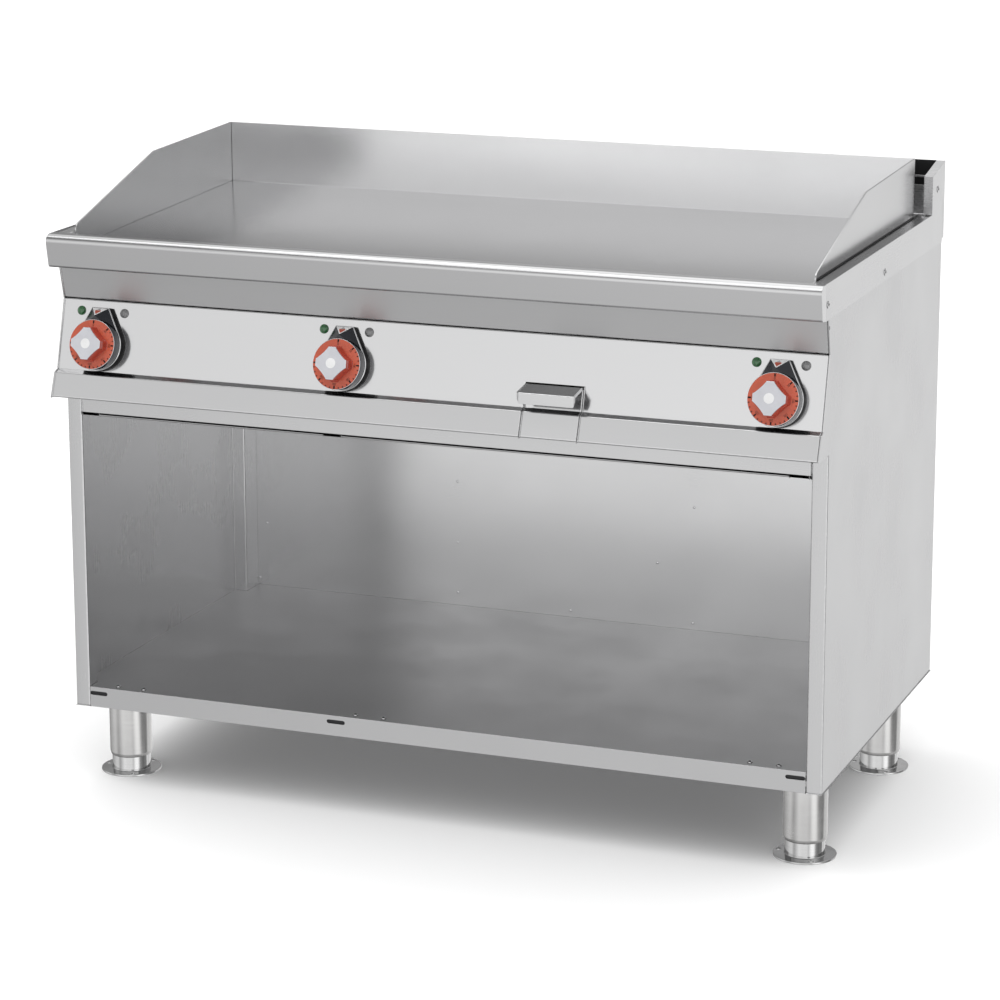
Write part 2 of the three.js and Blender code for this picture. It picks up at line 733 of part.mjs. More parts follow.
// Outer skin with the front's outline, a folded jamb, and a boxed rear corner post.
function sidePanel(side) {
  const skin = alongX(shapeOf([
    [0, CABINET.bottom], [CABINET.back, CABINET.bottom], [CABINET.back, CABINET.seam],
    [WORKTOP.undersideY, CABINET.seam], ...PANEL_FACE, [0, FASCIA.lipZ],
  ]), SKIN_INSIDE, HALF);
  const jamb = block([JAMB_INSIDE, 0, CABINET.bottom], [HALF, SHEET, FASCIA.lipZ]);
  const jambReturn = block(
    [JAMB_INSIDE, 0, CABINET.bottom], [JAMB_INSIDE + SHEET, CABINET.jambReturn, FASCIA.lipZ]);
  const postBack = block(
    [JAMB_INSIDE, CABINET.back - SHEET, CABINET.bottom], [HALF, CABINET.back, CABINET.seam]);
  const postSide = block(
    [JAMB_INSIDE, CABINET.postFront, CABINET.bottom],
    [JAMB_INSIDE + SHEET, CABINET.back, CABINET.seam]);
  const postFront = block(
    [JAMB_INSIDE, CABINET.postFront, CABINET.bottom],
    [HALF, CABINET.postFront + SHEET, CABINET.seam]);
  return mirrored(join(skin, jamb, jambReturn, postBack, postSide, postFront), side);
}

for (const [name, side] of SIDES) {
  place(`side_panel_${name}`, sidePanel(side), steel(0xc4c4c4));
}

const BETWEEN_POSTS = JAMB_INSIDE - GAP;

place('back_panel', block(
  [-BETWEEN_POSTS, CABINET.backPanel - SHEET, CABINET.bottom],
  [BETWEEN_POSTS, CABINET.backPanel, CABINET.shield - GAP]), steel());

const GLAND = {
  x: 450, z: 655, bodyRadius: 10, capRadius: 14, boreRadius: 6.5, inner: -14, shoulder: 7, outer: 17,
};
const LOUVRE = { columns: 6, rows: 3, pitchX: 150, pitchZ: 22, width: 90, height: 6, top: 790 };

function rearCover() {
  const sheet = block(
    [-BETWEEN_POSTS, CABINET.backPanel - SHEET, CABINET.shield + SHEET + GAP],
    [BETWEEN_POSTS, CABINET.backPanel, CABINET.seam]);
  const slots = [];
  for (let column = 0; column < LOUVRE.columns; column += 1) {
    for (let row = 0; row < LOUVRE.rows; row += 1) {
      const x = (column - (LOUVRE.columns - 1) / 2) * LOUVRE.pitchX;
      const z = LOUVRE.top - row * LOUVRE.pitchZ;
      slots.push(block(
        [x - LOUVRE.width / 2, CABINET.backPanel - THROUGH, z],
        [x + LOUVRE.width / 2, CABINET.backPanel + THROUGH, z + LOUVRE.height]));
    }
  }
  const glandHole = bar(GLAND.bodyRadius + CLEARANCE, -THROUGH, THROUGH)
    .rotateX(Math.PI / 2).translate(GLAND.x, CABINET.backPanel, GLAND.z);
  return cut(sheet, glandHole, ...slots);
}

place('rear_cover', rearCover(), steel());

const gland = place('cable_gland', turned([
  [GLAND.boreRadius, GLAND.inner], [GLAND.bodyRadius, GLAND.inner], [GLAND.bodyRadius, GAP],
  [GLAND.capRadius, GAP], [GLAND.capRadius, GLAND.shoulder], [GLAND.capRadius - 3, GLAND.outer - 1],
  [GLAND.boreRadius, GLAND.outer], [GLAND.boreRadius, GLAND.inner],
], 16), plastic(0x1c1c1e, 0.5));
gland.position.set(GLAND.x, CABINET.backPanel, GLAND.z);
gland.rotation.x = -Math.PI / 2;

const TERMINALS = { x: 430, y: 545, poles: 5, pitch: 16, web: 4, depth: 34, height: 26, step: 10 };

function terminalBlock() {
  const { poles, pitch, web, depth, height, step } = TERMINALS;
  const body = block([0, 0, 0], [poles * pitch + web, depth, height]);
  const grooves = Array.from({ length: poles }, (_, pole) => (
    block([web + pole * pitch, -THROUGH, height - step], [(pole + 1) * pitch, step, height + THROUGH])));
  return cut(body, ...grooves);
}

place('terminal_block', terminalBlock(), plastic(0xe6e2d8, 0.5))
  .position.set(TERMINALS.x, TERMINALS.y, CABINET.shield + SHEET + GAP);

// The floor area inside the skins, clear of the jambs' returns and of the corner posts.
function deckShape(front) {
  const jambBack = CABINET.jambReturn + CLEARANCE;
  const postFront = CABINET.postFront - GAP;
  const back = CABINET.backPanel - SHEET - GAP;
  const right = [
    [BETWEEN_JAMBS, front], [BETWEEN_JAMBS, jambBack], [BETWEEN_SKINS, jambBack],
    [BETWEEN_SKINS, postFront], [BETWEEN_POSTS, postFront], [BETWEEN_POSTS, back],
  ];
  return shapeOf([...right, ...right.map(([x, y]) => [-x, y]).reverse()]);
}

const LIP_SLOTS = { places: [-561, -160, 560], length: 30, height: 6, z: 147 };

function floorShelf() {
  const deck = alongZ(deckShape(0), CABINET.floor - SHEET, CABINET.floor);
  const lip = block([-BETWEEN_JAMBS, 0, CABINET.bottom], [BETWEEN_JAMBS, SHEET, CABINET.floor]);
  const lipReturn = block(
    [-BETWEEN_JAMBS, 0, CABINET.bottom], [BETWEEN_JAMBS, CABINET.jambReturn, CABINET.bottom + SHEET]);
  const radius = LIP_SLOTS.height / 2;
  const slots = LIP_SLOTS.places.map((x) => {
    const reach = LIP_SLOTS.length / 2 - radius;
    const outline = [
      ...arc([x + reach, LIP_SLOTS.z], radius, -90, 90, 4),
      ...arc([x - reach, LIP_SLOTS.z], radius, 90, 270, 4),
    ];
    return alongY(shapeOf(outline), -THROUGH, THROUGH);
  });
  return cut(join(deck, lip, lipReturn), ...slots);
}

place('floor_shelf', floorShelf(), steel(0x9a9b9c));

const RAIL = { top: FASCIA.lipZ + 3, returnBack: 28 };
const RAIL_NOTCHES = { places: [-560, -159, 558], length: 29, height: 5, back: 12 };

function topRail() {
  const face = block([-BETWEEN_JAMBS, 0, CABINET.bayTop], [BETWEEN_JAMBS, SHEET, RAIL.top]);
  const bottomReturn = block(
    [-BETWEEN_JAMBS, 0, CABINET.bayTop], [BETWEEN_JAMBS, RAIL.returnBack, CABINET.bayTop + SHEET]);
  const notches = RAIL_NOTCHES.places.map((x) => block(
    [x - RAIL_NOTCHES.length / 2, -THROUGH, CABINET.bayTop - THROUGH],
    [x + RAIL_NOTCHES.length / 2, RAIL_NOTCHES.back, CABINET.bayTop + RAIL_NOTCHES.height]));
  return cut(join(face, bottomReturn), ...notches);
}

place('top_rail', topRail(), steel());

place('heat_shield', alongZ(deckShape(SHEET + GAP), CABINET.shield, CABINET.shield + SHEET),
  steel(0x9a9b9c));

// ---------------------------------------------------------------- legs and levelling feet

function legTube() {
  const top = CABINET.floor - SHEET - GAP;
  const outside = LEG.tubeRadius;
  const inside = outside - LEG.tubeWall;
  const lid = top - LEG.lidThickness;
  return turned([
    [0, top], [0, lid], [inside, lid], [inside, LEG.tubeBottom],
    [outside - 1.5, LEG.tubeBottom], [outside, LEG.tubeBottom + 4], [outside, top], [0, top],
  ]);
}

// A telescoping sleeve on a round flange with three screw holes.
function foot() {
  const inside = LEG.sleeveRadius - LEG.sleeveWall;
  const cup = turned([
    [0, 0], [LEG.flangeRadius, 0], [LEG.flangeRadius, LEG.flangeThickness],
    [LEG.sleeveRadius, LEG.flangeThickness], [LEG.sleeveRadius, LEG.sleeveTop],
    [inside, LEG.sleeveTop], [inside, 2 * LEG.flangeThickness],
    [0, 2 * LEG.flangeThickness], [0, 0],
  ]);
  const holes = arc([0, 0], LEG.holeCircle, 180, 420, 2).map(([x, y]) => (
    bar(LEG.holeRadius, -THROUGH, THROUGH, 6).translate(x, y, 0)));
  return cut(cup, ...holes);
}

for (const [row, y] of [['front', LEG.frontY], ['rear', LEG.backY]]) {
  for (const [name, side] of SIDES) {
    place(`leg_${row}_${name}`, legTube(), steel(0xd0d1d2, 0.15)).position.set(side * LEG.x, y, 0);
    place(`foot_${row}_${name}`, foot(), steel(0xc0c1c2, 0.25)).position.set(side * LEG.x, y, 0);
  }
}

// ---------------------------------------------------------------- origin

const outerBox = new THREE.Box3().setFromObject(model);
model.position.y = -(outerBox.min.y + outerBox.max.y) / 2;

export default model;
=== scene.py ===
"""The looks of a free-standing electric griddle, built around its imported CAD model.

Metres, in the model's own frame: +X to the right along the front, +Y to the back, +Z up.
The sheet-metal pieces are the CAD solids with rounded bends and eased edges. The knobs,
lamps, heating elements, cable gland, feet and fasteners are built here in full. Each
piece's own coordinates are the model's, so every material reads one continuous space.
"""

import json
import math

import bmesh
import bpy
from mathutils import Matrix, Vector

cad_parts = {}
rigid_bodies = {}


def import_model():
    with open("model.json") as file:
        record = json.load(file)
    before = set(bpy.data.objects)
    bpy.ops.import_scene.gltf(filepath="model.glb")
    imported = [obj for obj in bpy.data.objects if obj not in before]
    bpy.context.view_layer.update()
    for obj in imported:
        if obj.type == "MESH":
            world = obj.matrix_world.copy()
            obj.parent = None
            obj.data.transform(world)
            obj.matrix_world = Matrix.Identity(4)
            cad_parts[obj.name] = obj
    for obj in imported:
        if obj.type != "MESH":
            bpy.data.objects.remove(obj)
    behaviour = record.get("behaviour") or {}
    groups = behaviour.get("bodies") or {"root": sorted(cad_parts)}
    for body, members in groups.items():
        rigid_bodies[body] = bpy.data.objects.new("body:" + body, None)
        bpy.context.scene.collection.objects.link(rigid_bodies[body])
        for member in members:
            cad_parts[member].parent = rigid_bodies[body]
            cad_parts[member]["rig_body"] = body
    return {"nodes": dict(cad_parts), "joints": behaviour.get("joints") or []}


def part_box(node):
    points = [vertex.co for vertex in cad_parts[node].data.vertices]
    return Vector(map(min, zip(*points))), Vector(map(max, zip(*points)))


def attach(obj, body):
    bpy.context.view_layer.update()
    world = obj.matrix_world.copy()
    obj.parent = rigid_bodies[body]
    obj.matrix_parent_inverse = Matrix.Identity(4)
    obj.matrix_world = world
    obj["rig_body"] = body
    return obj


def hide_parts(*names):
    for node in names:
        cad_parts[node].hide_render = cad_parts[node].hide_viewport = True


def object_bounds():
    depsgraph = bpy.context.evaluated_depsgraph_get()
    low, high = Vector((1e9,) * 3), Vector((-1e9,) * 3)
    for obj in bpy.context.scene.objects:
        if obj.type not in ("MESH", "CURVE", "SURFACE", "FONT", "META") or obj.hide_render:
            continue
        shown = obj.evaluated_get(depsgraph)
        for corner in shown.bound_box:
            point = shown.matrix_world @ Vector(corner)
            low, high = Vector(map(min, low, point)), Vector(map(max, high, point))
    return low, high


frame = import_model()
CAD_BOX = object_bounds()

MM = 0.001
CM2 = 1e-4
SHEET = 1.5 * MM
BEND = 2.4 * MM       # the outside radius of a fold
RIM = 0.12 * MM       # a sheared edge, broken by hand
HAIRLINE = 0.03 * MM  # an edge where two sheets meet flush
GAP = 0.3 * MM        # between neighbours in the CAD
TIGHT = 0.28 * MM     # how much of that gap a screwed joint closes
LIFT = 0.05 * MM      # how far print, badges and hoods stand off

JOINTS = {joint["name"]: joint for joint in frame["joints"]}
ZONES = ("left", "centre", "right")
SIDES = (("left", -1), ("right", 1))
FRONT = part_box("top_rail")[0].y
HALF_WIDTH = CAD_BOX[1].x


# ---- materials

class Shading:
    """A Principled material that is built up node by node."""

    def __init__(self, name, metallic=0.0, **sockets):
        self.material = bpy.data.materials.new(name)
        self.material.use_nodes = True
        self.tree = self.material.node_tree
        self.shader = self.tree.nodes["Principled BSDF"]
        self.shader.inputs["Metallic"].default_value = metallic
        for socket, value in sockets.items():
            title = "IOR" if socket == "ior" else socket.replace("_", " ").title()
            self.shader.inputs[title].default_value = value
        self.place = self.node("ShaderNodeTexCoord").outputs["Object"]

    def node(self, kind, inputs=None, **settings):
        made = self.tree.nodes.new(kind)
        for key, value in settings.items():
            setattr(made, key, value)
        for key, value in (inputs or {}).items():
            if isinstance(value, bpy.types.NodeSocket):
                self.tree.links.new(value, made.inputs[key])
            else:
                made.inputs[key].default_value = value
        return made

    def link(self, output, socket):
        self.tree.links.new(output, self.shader.inputs[socket])

    def finish(self, tone, roughness, fine, cloud, tints, gloss, depth):
        """Color and roughness that vary on a fine and a coarse scale, and bumps on the fine one."""
        color = self.tinted(tone, self.ranged(fine, *tints[0]), self.ranged(cloud, *tints[1]))
        coarse = self.ranged(cloud, 0.85 * roughness, 1.2 * roughness)
        self.link(color, "Base Color")
        self.link(self.maths("MULTIPLY", self.ranged(fine, *gloss), coarse), "Roughness")
        self.link(self.bump(fine, depth), "Normal")
        return self.material

    def noise(self, cell, detail=2.0, roughness=0.5):
        """Noise from 0 to 1 whose cells have this size along X, Y and Z, in metres."""
        scaled = self.node(
            "ShaderNodeMapping", {"Vector": self.place, "Scale": [1 / c for c in cell]})
        return self.node("ShaderNodeTexNoise", {
            "Vector": scaled.outputs["Vector"], "Scale": 1.0, "Detail": detail, "Roughness": roughness,
        }).outputs["Fac"]

    def ranged(self, value, low, high, start=0.3, end=0.7):
        """A value taken from start..end to low..high."""
        return self.node("ShaderNodeMapRange", {
            "Value": value, "From Min": start, "From Max": end, "To Min": low, "To Max": high,
        }).outputs["Result"]

    def maths(self, operation, a, b):
        return self.node("ShaderNodeMath", {0: a, 1: b}, operation=operation).outputs["Value"]

    def tinted(self, color, *factors):
        """The color, multiplied by each of the factors."""
        factor = factors[0]
        for other in factors[1:]:
            factor = self.maths("MULTIPLY", factor, other)
        return self.node(
            "ShaderNodeVectorMath", {0: color, "Scale": factor}, operation="SCALE").outputs["Vector"]

    def bump(self, height, distance, normal=None):
        inputs = {"Height": height, "Distance": distance}
        if normal:
            inputs["Normal"] = normal
        return self.node("ShaderNodeBump", inputs).outputs["Normal"]


def cell_along(axis, length, width):
    """The size of a noise cell that is drawn out along one axis."""
    return [length if name == axis else width for name in "XYZ"]


def cool(grey, blue=0.005):
    """A steel's tone: a grey with this much more blue."""
    return (grey, grey, grey + blue)


def stainless(name, tone, roughness, grain, coarse=1.0, waviness=0.2, anisotropy=0.4):
    """Rolled stainless sheet, with its polishing grain along one axis."""
    s = Shading(name, metallic=1.0, anisotropic=anisotropy, anisotropic_rotation=0.25)
    fine = s.noise(cell_along(grain, 45 * MM, 0.4 * MM), detail=3, roughness=0.6)
    streak = s.noise(cell_along(grain, 380 * MM, 3 * MM), detail=4, roughness=0.65)
    cloud = s.noise([150 * MM] * 3, detail=3)
    sheet = s.noise([320 * MM] * 3, detail=1)
    color = s.tinted(
        tone, s.ranged(fine, 1 - 0.006 * coarse, 1 + 0.005 * coarse),
        s.ranged(streak, 1 - 0.006 * coarse, 1 + 0.005 * coarse), s.ranged(cloud, 0.99, 1.008))
    s.link(color, "Base Color")
    rough = s.maths("MULTIPLY", s.ranged(fine, 0.97, 1.03), s.ranged(streak, 0.98, 1.02))
    rough = s.maths("MULTIPLY", rough, s.ranged(cloud, 0.9 * roughness, 1.12 * roughness))
    s.link(rough, "Roughness")
    flat = s.bump(sheet, 0.5 * waviness * MM)
    s.link(s.bump(fine, 0.0001 * MM * coarse, flat), "Normal")
    along = s.node("ShaderNodeCombineXYZ", {grain: 1.0}).outputs["Vector"]
    s.link(along, "Tangent")
    return s.material


def worn_and_highlighted_edge():
    """Sheared and broken edges, and the outside of bends: lighter and glossier than the sheet, partly
    rubbed by handling and partly a painted highlight.
    """
    s = Shading("stainless_edge_wear_and_highlight", metallic=1.0)
    scuff = s.noise([6 * MM] * 3, detail=4, roughness=0.7)
    s.link(s.tinted(cool(0.68), s.ranged(scuff, 0.9, 1.08)), "Base Color")
    s.link(s.ranged(scuff, 0.17, 0.26), "Roughness")
    s.link(s.bump(scuff, 0.01 * MM), "Normal")
    return s.material


def turned_metal(name, tone, roughness, anisotropy=0.5):
    """Drawn or lathe-turned metal, with fine rings up its length."""
    s = Shading(name, metallic=1.0, anisotropic=anisotropy)
    rings = s.noise([40 * MM, 40 * MM, 0.35 * MM], detail=3)
    cloud = s.noise([30 * MM] * 3, detail=3)
    s.link(s.node("ShaderNodeTangent", direction_type="RADIAL", axis="Z").outputs["Tangent"], "Tangent")
    return s.finish(tone, roughness, rings, cloud, tints=((0.94, 1.05), (0.95, 1.03)),
                    gloss=(0.85, 1.2), depth=0.008 * MM)


def smooth_metal(name, tone, roughness, cell=5 * MM):
    """Plated or cast metal with faint scuffs."""
    scuffing = 0.4
    s = Shading(name, metallic=1.0)
    scuff = s.noise([cell] * 3, detail=5, roughness=0.65)
    s.link(s.tinted(tone, s.ranged(scuff, 1 - 0.1 * scuffing, 1 + 0.05 * scuffing)), "Base Color")
    s.link(s.ranged(scuff, roughness * (1 - scuffing), roughness * (1 + scuffing)), "Roughness")
    s.link(s.bump(scuff, 0.006 * MM), "Normal")
    return s.material


def moulded(name, tone, roughness, coat=0.0, grain=0.4 * MM, variation=0.06):
    """Moulded plastic with a fine texture and slightly uneven gloss."""
    s = Shading(name, coat_weight=coat, coat_roughness=0.08)
    texture = s.noise([grain] * 3, detail=2)
    cloud = s.noise([18 * MM] * 3, detail=3)
    tint = (1 - variation, 1 + variation)
    return s.finish(
        tone, roughness, texture, cloud, tints=(tint, tint), gloss=(0.92, 1.1), depth=0.01 * MM)


def wool(name, tone):
    """Matted ceramic fibre."""
    s = Shading(name, sheen_weight=0.3)
    fibre = s.noise([1.2 * MM, 5 * MM, 1.2 * MM], detail=5, roughness=0.7)
    clump = s.noise([14 * MM] * 3, detail=3)
    s.link(s.tinted(tone, s.ranged(fibre, 0.8, 1.1), s.ranged(clump, 0.88, 1.06)), "Base Color")
    s.link(s.ranged(fibre, 0.85, 1.0), "Roughness")
    s.link(s.bump(fibre, 0.8 * MM, s.bump(clump, 2 * MM)), "Normal")
    return s.material


def lens(name, tone):
    """A domed plastic lens with a cellular pattern under its smooth surface."""
    s = Shading(name, roughness=0.22, coat_weight=1.0, coat_roughness=0.04, ior=1.49)
    cells = s.node("ShaderNodeTexVoronoi", {"Vector": s.place, "Scale": 1 / (1.6 * MM)}).outputs["Distance"]
    s.link(s.tinted(tone, s.ranged(cells, 1.5, 0.7, 0.0, 0.8)), "Base Color")
    s.link(s.bump(cells, 0.15 * MM), "Normal")
    return s.material


SATIN = {
    axis: stainless(f"stainless_satin_{axis.lower()}", cool(0.62), 0.26, axis, coarse=0.3)
    for axis in "XYZ"}
# The side guards' steel is darker and the rear guard's lighter than the other satin steel: painted shade
# and painted light.
SIDE_GUARD = stainless("side_guard_satin", cool(0.57), 0.22, "Y", coarse=0.4)
SPLASH = stainless("rear_guard_satin", cool(0.74), 0.2, "X", coarse=0.5)
POLISHED = stainless("stainless_polished", cool(0.62), 0.16, "X", coarse=0.5)
FASCIA = stainless("fascia_steel", cool(0.62), 0.13, "X", coarse=0.5, waviness=0.08)
UPPER = stainless("upper_fascia_steel", cool(0.60), 0.3, "X", coarse=0.5, anisotropy=0.75)
PLATE = stainless("plate_steel", cool(0.46), 0.17, "X", coarse=0.7, waviness=0.1)
BACK = stainless("back_steel", cool(0.69), 0.24, "X", coarse=0.4)
# A near-black copy of the fascia steel for the drawer lip's top: a painted reflection, dark.
HANDLE_TOP_REFLECTION = stainless("handle_top_painted_reflection", cool(0.11, 0.002), 0.2, "X", coarse=0.5)
INNER = stainless("inner_steel", cool(0.565), 0.32, "X", coarse=0.6)
# Near-black steel: painted shade for deep hollows and behind slots.
SHADED = stainless("shaded_steel", cool(0.05, 0.002), 0.4, "X")
EDGE = worn_and_highlighted_edge()
TUBE = turned_metal("tube_steel", (0.64, 0.635, 0.63), 0.2)
FOOT = turned_metal("foot_steel", cool(0.64, 0), 0.12, anisotropy=0.3)
SPINDLE = turned_metal("spindle_steel", cool(0.6, 0), 0.3)
SHEATH = smooth_metal("element_sheath", (0.14, 0.13, 0.13), 0.5)
CHROME = smooth_metal("chrome_trim", cool(0.80, 0.01), 0.07)
SCREW = smooth_metal("screw_steel", cool(0.78, 0.01), 0.1, cell=1.5 * MM)
CAP = moulded("cap_silver", (0.60, 0.605, 0.64), 0.38, coat=0.15, grain=0.25 * MM, variation=0.04)
GUNMETAL = moulded("skirt_gunmetal", (0.016, 0.018, 0.026), 0.16, coat=0.15, variation=0.08)
# Near-black: the dark joint at the splash guards, and painted shade in screw recesses and round screw
# heads.
DARK_JOINT_AND_SHADE = moulded("dark_joint_and_painted_shade", cool(0.02, 0), 0.7)
ORANGE = moulded("dial_orange", (0.56, 0.085, 0.032), 0.26, coat=0.5, variation=0.04)
# A darker copy of the dial's orange for the grip's sides: painted shade.
ORANGE_GRIP_SHADE = moulded("dial_orange_grip_painted_shade", (0.40, 0.045, 0.025), 0.16, coat=0.8, variation=0.04)
POINTER_RED = moulded("window_red", (0.42, 0.07, 0.035), 0.35)
COLLAR = moulded("collar_black", (0.012, 0.013, 0.018), 0.14, coat=0.15, variation=0.08)
# Near-black, dull and weakly reflective: painted shade on the collar's flanks.
COLLAR_SIDE_SHADE = moulded("collar_side_painted_shade", (0.004, 0.004, 0.005), 0.55, variation=0.08)
COLLAR_SIDE_SHADE.node_tree.nodes["Principled BSDF"].inputs["Specular IOR Level"].default_value = 0.15
INK = moulded("dial_ink", cool(0.004, 0), 0.8, variation=0.02)
WHITE = moulded("window_white", cool(0.86, 0), 0.4)
GREY = moulded("window_grey", cool(0.42, 0.01), 0.4)
BLACK = moulded("thermostat_black", cool(0.03, 0), 0.5)
NYLON = moulded("gland_black", cool(0.02, 0), 0.45)
IVORY = moulded("terminal_ivory", (0.76, 0.72, 0.62), 0.5)
WOOL = wool("insulation_wool", (0.74, 0.70, 0.60))
GREEN_LENS = lens("lens_green", (0.02, 0.13, 0.035))
CLEAR_LENS = lens("lens_clear", cool(0.22))


# ---- pieces

def meshed(name, bm):
    """A mesh from a bmesh, with its faces turned outwards."""
    bmesh.ops.recalc_face_normals(bm, faces=bm.faces)
    mesh = bpy.data.meshes.new(name)
    bm.to_mesh(mesh)
    bm.free()
    return mesh


def piece(name, shape, materials, node, stands=False, place=None, body="root"):
    """Puts a bmesh or a mesh in the scene, and stands for its CAD node if asked."""
    mesh = shape if isinstance(shape, bpy.types.Mesh) else meshed(name, shape)
    mesh.name = name
    if place:
        mesh.transform(place)
    thing = bpy.data.objects.new(name, mesh)
    bpy.context.scene.collection.objects.link(thing)
    for used in materials:
        mesh.materials.append(used)
    for polygon in mesh.polygons:
        polygon.use_smooth = True
    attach(thing, body)
    if stands:
        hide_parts(node)
    return thing


def creased(thing, degrees):
    """Keeps the edges that turn by more than this angle sharp."""
    thing.data.set_sharp_from_angle(angle=math.radians(degrees))
    return thing


def line_of(edge):
    """A name for the straight line that an edge lies on."""
    start, end = (v.co for v in edge.verts)
    along = (end - start).normalized()
    if next((c for c in along if abs(c) > 1e-3), 0.0) < 0:
        along = -along
    foot = start - along * start.dot(along)
    return tuple(round(c / (0.1 * MM)) for c in foot) + tuple(round(c * 50) for c in along)


def eased(thing, radius_of, segments=3):
    """Rounds each sharp edge by its own radius. The rounding takes the piece's second material."""
    bm = bmesh.new()
    bm.from_mesh(thing.data)
    weights = bm.edges.layers.float.new("bevel_weight_edge")
    offsets = {}
    lines = {}
    for edge in bm.edges:
        turn = edge.calc_face_angle(0.0) if len(edge.link_faces) == 2 else 0.0
        if turn > math.radians(18):
            line = lines[edge] = line_of(edge)
            offset = radius_of(edge) * math.tan(min(turn, math.radians(120)) / 2)
            offsets[line] = max(offsets.get(line, 0.0), offset)
    widest = max(offsets.values(), default=0.0)
    for edge, line in lines.items():
        edge[weights] = offsets[line] / widest
    bm.to_mesh(thing.data)
    bm.free()
    if not widest:
        return thing
    bevel = thing.modifiers.new("eased_edges", "BEVEL")
    bevel.limit_method = "WEIGHT"
    bevel.width = widest
    bevel.segments = segments
    bevel.use_clamp_overlap = False
    bevel.loop_slide = False
    if len(thing.data.materials) > 1:
        bevel.material = 1
    normals = thing.modifiers.new("flat_faces", "WEIGHTED_NORMAL")
    normals.keep_sharp = True
    normals.weight = 80
    return thing


def reach(face, edge):
    """How far a face reaches from one of its edges."""
    start, end = (v.co for v in edge.verts)
    along = (end - start).normalized()
    away = [v.co - start for v in face.verts]
    return max((a - along * a.dot(along)).length for a in away)


def sheet_radius(edge, bend=BEND, rim=RIM):
    """The radius of a sheet's edge: a bend where both faces are wide, and a broken edge elsewhere."""
    if min(reach(face, edge) for face in edge.link_faces) < 1.6 * SHEET:
        return rim
    return bend if edge.is_convex else max(bend - SHEET, rim)


def plain_radius(radius):
    """The same radius at every edge."""
    return lambda edge: radius


def refined(node, material, radius_of=sheet_radius, edge=EDGE):
    """A CAD solid with clean flat faces and rounded edges, which stands for its node."""
    source = frame["nodes"][node]
    bm = bmesh.new()
    bm.from_mesh(source.data)
    bmesh.ops.remove_doubles(bm, verts=bm.verts, dist=1e-6)
    bmesh.ops.dissolve_limit(
        bm, angle_limit=math.radians(0.4), verts=bm.verts, edges=bm.edges, use_dissolve_boundaries=False)
    thing = piece(f"{node}_skin", bm, [material, edge], node, stands=True, body=source["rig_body"])
    return eased(thing, radius_of)


# ---- outlines and solids

def from_front(x, y, z):
    """A place given in millimetres from the cabinet's front face, in the model's frame."""
    return Vector((x * MM, FRONT + y * MM, z * MM))


def facing(spot, out):
    """A frame at a spot whose Z points this way."""
    return Matrix.Translation(spot) @ Vector(out).to_track_quat("Z", "Y").to_matrix().to_4x4()


def curved(start, middle, end, steps):
    """Points along a quadratic curve, without its start."""
    shares = (k / steps for k in range(1, steps + 1))
    return [start * (1 - t) ** 2 + middle * 2 * t * (1 - t) + end * t ** 2 for t in shares]


def quarter_turn(steps):
    """The cosine and the sine at even steps through a quarter of a turn."""
    turns = (math.pi / 2 * k / steps for k in range(steps + 1))
    return [(math.cos(turn), math.sin(turn)) for turn in turns]


def polar(radius, angle, *height):
    """A point at this distance and in this direction from the Z axis."""
    return (radius * math.cos(angle), radius * math.sin(angle), *height)


def rounded(points, radius=0.0, steps=4):
    """A closed outline with its corners rounded. A corner's own radius may be its third value."""
    outline = []
    count = len(points)
    for i, point in enumerate(points):
        here = Vector(point[:2])
        before = Vector(points[i - 1][:2]) - here
        after = Vector(points[(i + 1) % count][:2]) - here
        wanted = point[2] if len(point) > 2 else radius
        half = before.angle(after) / 2
        if wanted <= 0 or half > math.radians(88):
            outline.append(here)
            continue
        back = min(wanted / math.tan(half), 0.49 * before.length, 0.49 * after.length)
        start, end = here + before.normalized() * back, here + after.normalized() * back
        outline += [start] + curved(start, here, end, steps)
    return outline


def lathe(profile, segments=96):
    """A closed solid turned about Z from a closed outline of (radius, z) points."""
    bm = bmesh.new()
    rings = []
    for radius, z in profile:
        if radius < 1e-7:
            rings.append([bm.verts.new((0, 0, z))])
            continue
        angles = (2 * math.pi * k / segments for k in range(segments))
        rings.append([bm.verts.new(polar(radius, a, z)) for a in angles])
    for ring, after in zip(rings, rings[1:] + rings[:1]):
        for k in range(segments):
            corners = [ring[k % len(ring)], ring[(k + 1) % len(ring)],
                       after[(k + 1) % len(after)], after[k % len(after)]]
            distinct = list(dict.fromkeys(corners))
            if len(distinct) > 2:
                bm.faces.new(distinct)
    return bm


def plug(radius, low, high, segments):
    """A plain cylinder about Z."""
    return lathe([(0, low), (radius, low), (radius, high), (0, high)], segments)


def ringed(rings, closed=False):
    """A solid through rings of points. Its ends are capped, or its last ring is joined to its first."""
    bm = bmesh.new()
    made = [[bm.verts.new(point) for point in ring] for ring in rings]
    for ring, after in zip(made, made[1:] + made[:closed]):
        for k in range(len(ring)):
            n = (k + 1) % len(ring)
            bm.faces.new((ring[k], ring[n], after[n], after[k]))
    if not closed:
        bm.faces.new(made[0])
        bm.faces.new(made[-1])
    return bm


def prism(outline, low, high):
    """A closed solid drawn out along Z from a closed outline of (x, y) points."""
    return ringed([[(x, y, z) for x, y in outline] for z in (low, high)])


def block(centre, size):
    bm = bmesh.new()
    bmesh.ops.create_cube(bm, size=1, matrix=Matrix.Translation(centre) @ Matrix.Diagonal((*size, 1)))
    return bm


def merged(parts):
    """One bmesh from several."""
    whole = bmesh.new()
    for part in parts:
        mesh = bpy.data.meshes.new("part")
        part.to_mesh(mesh)
        part.free()
        whole.from_mesh(mesh)
        bpy.data.meshes.remove(mesh)
    return whole


def moved(bm, matrix):
    bmesh.ops.transform(bm, matrix=matrix, verts=bm.verts)
    return bm


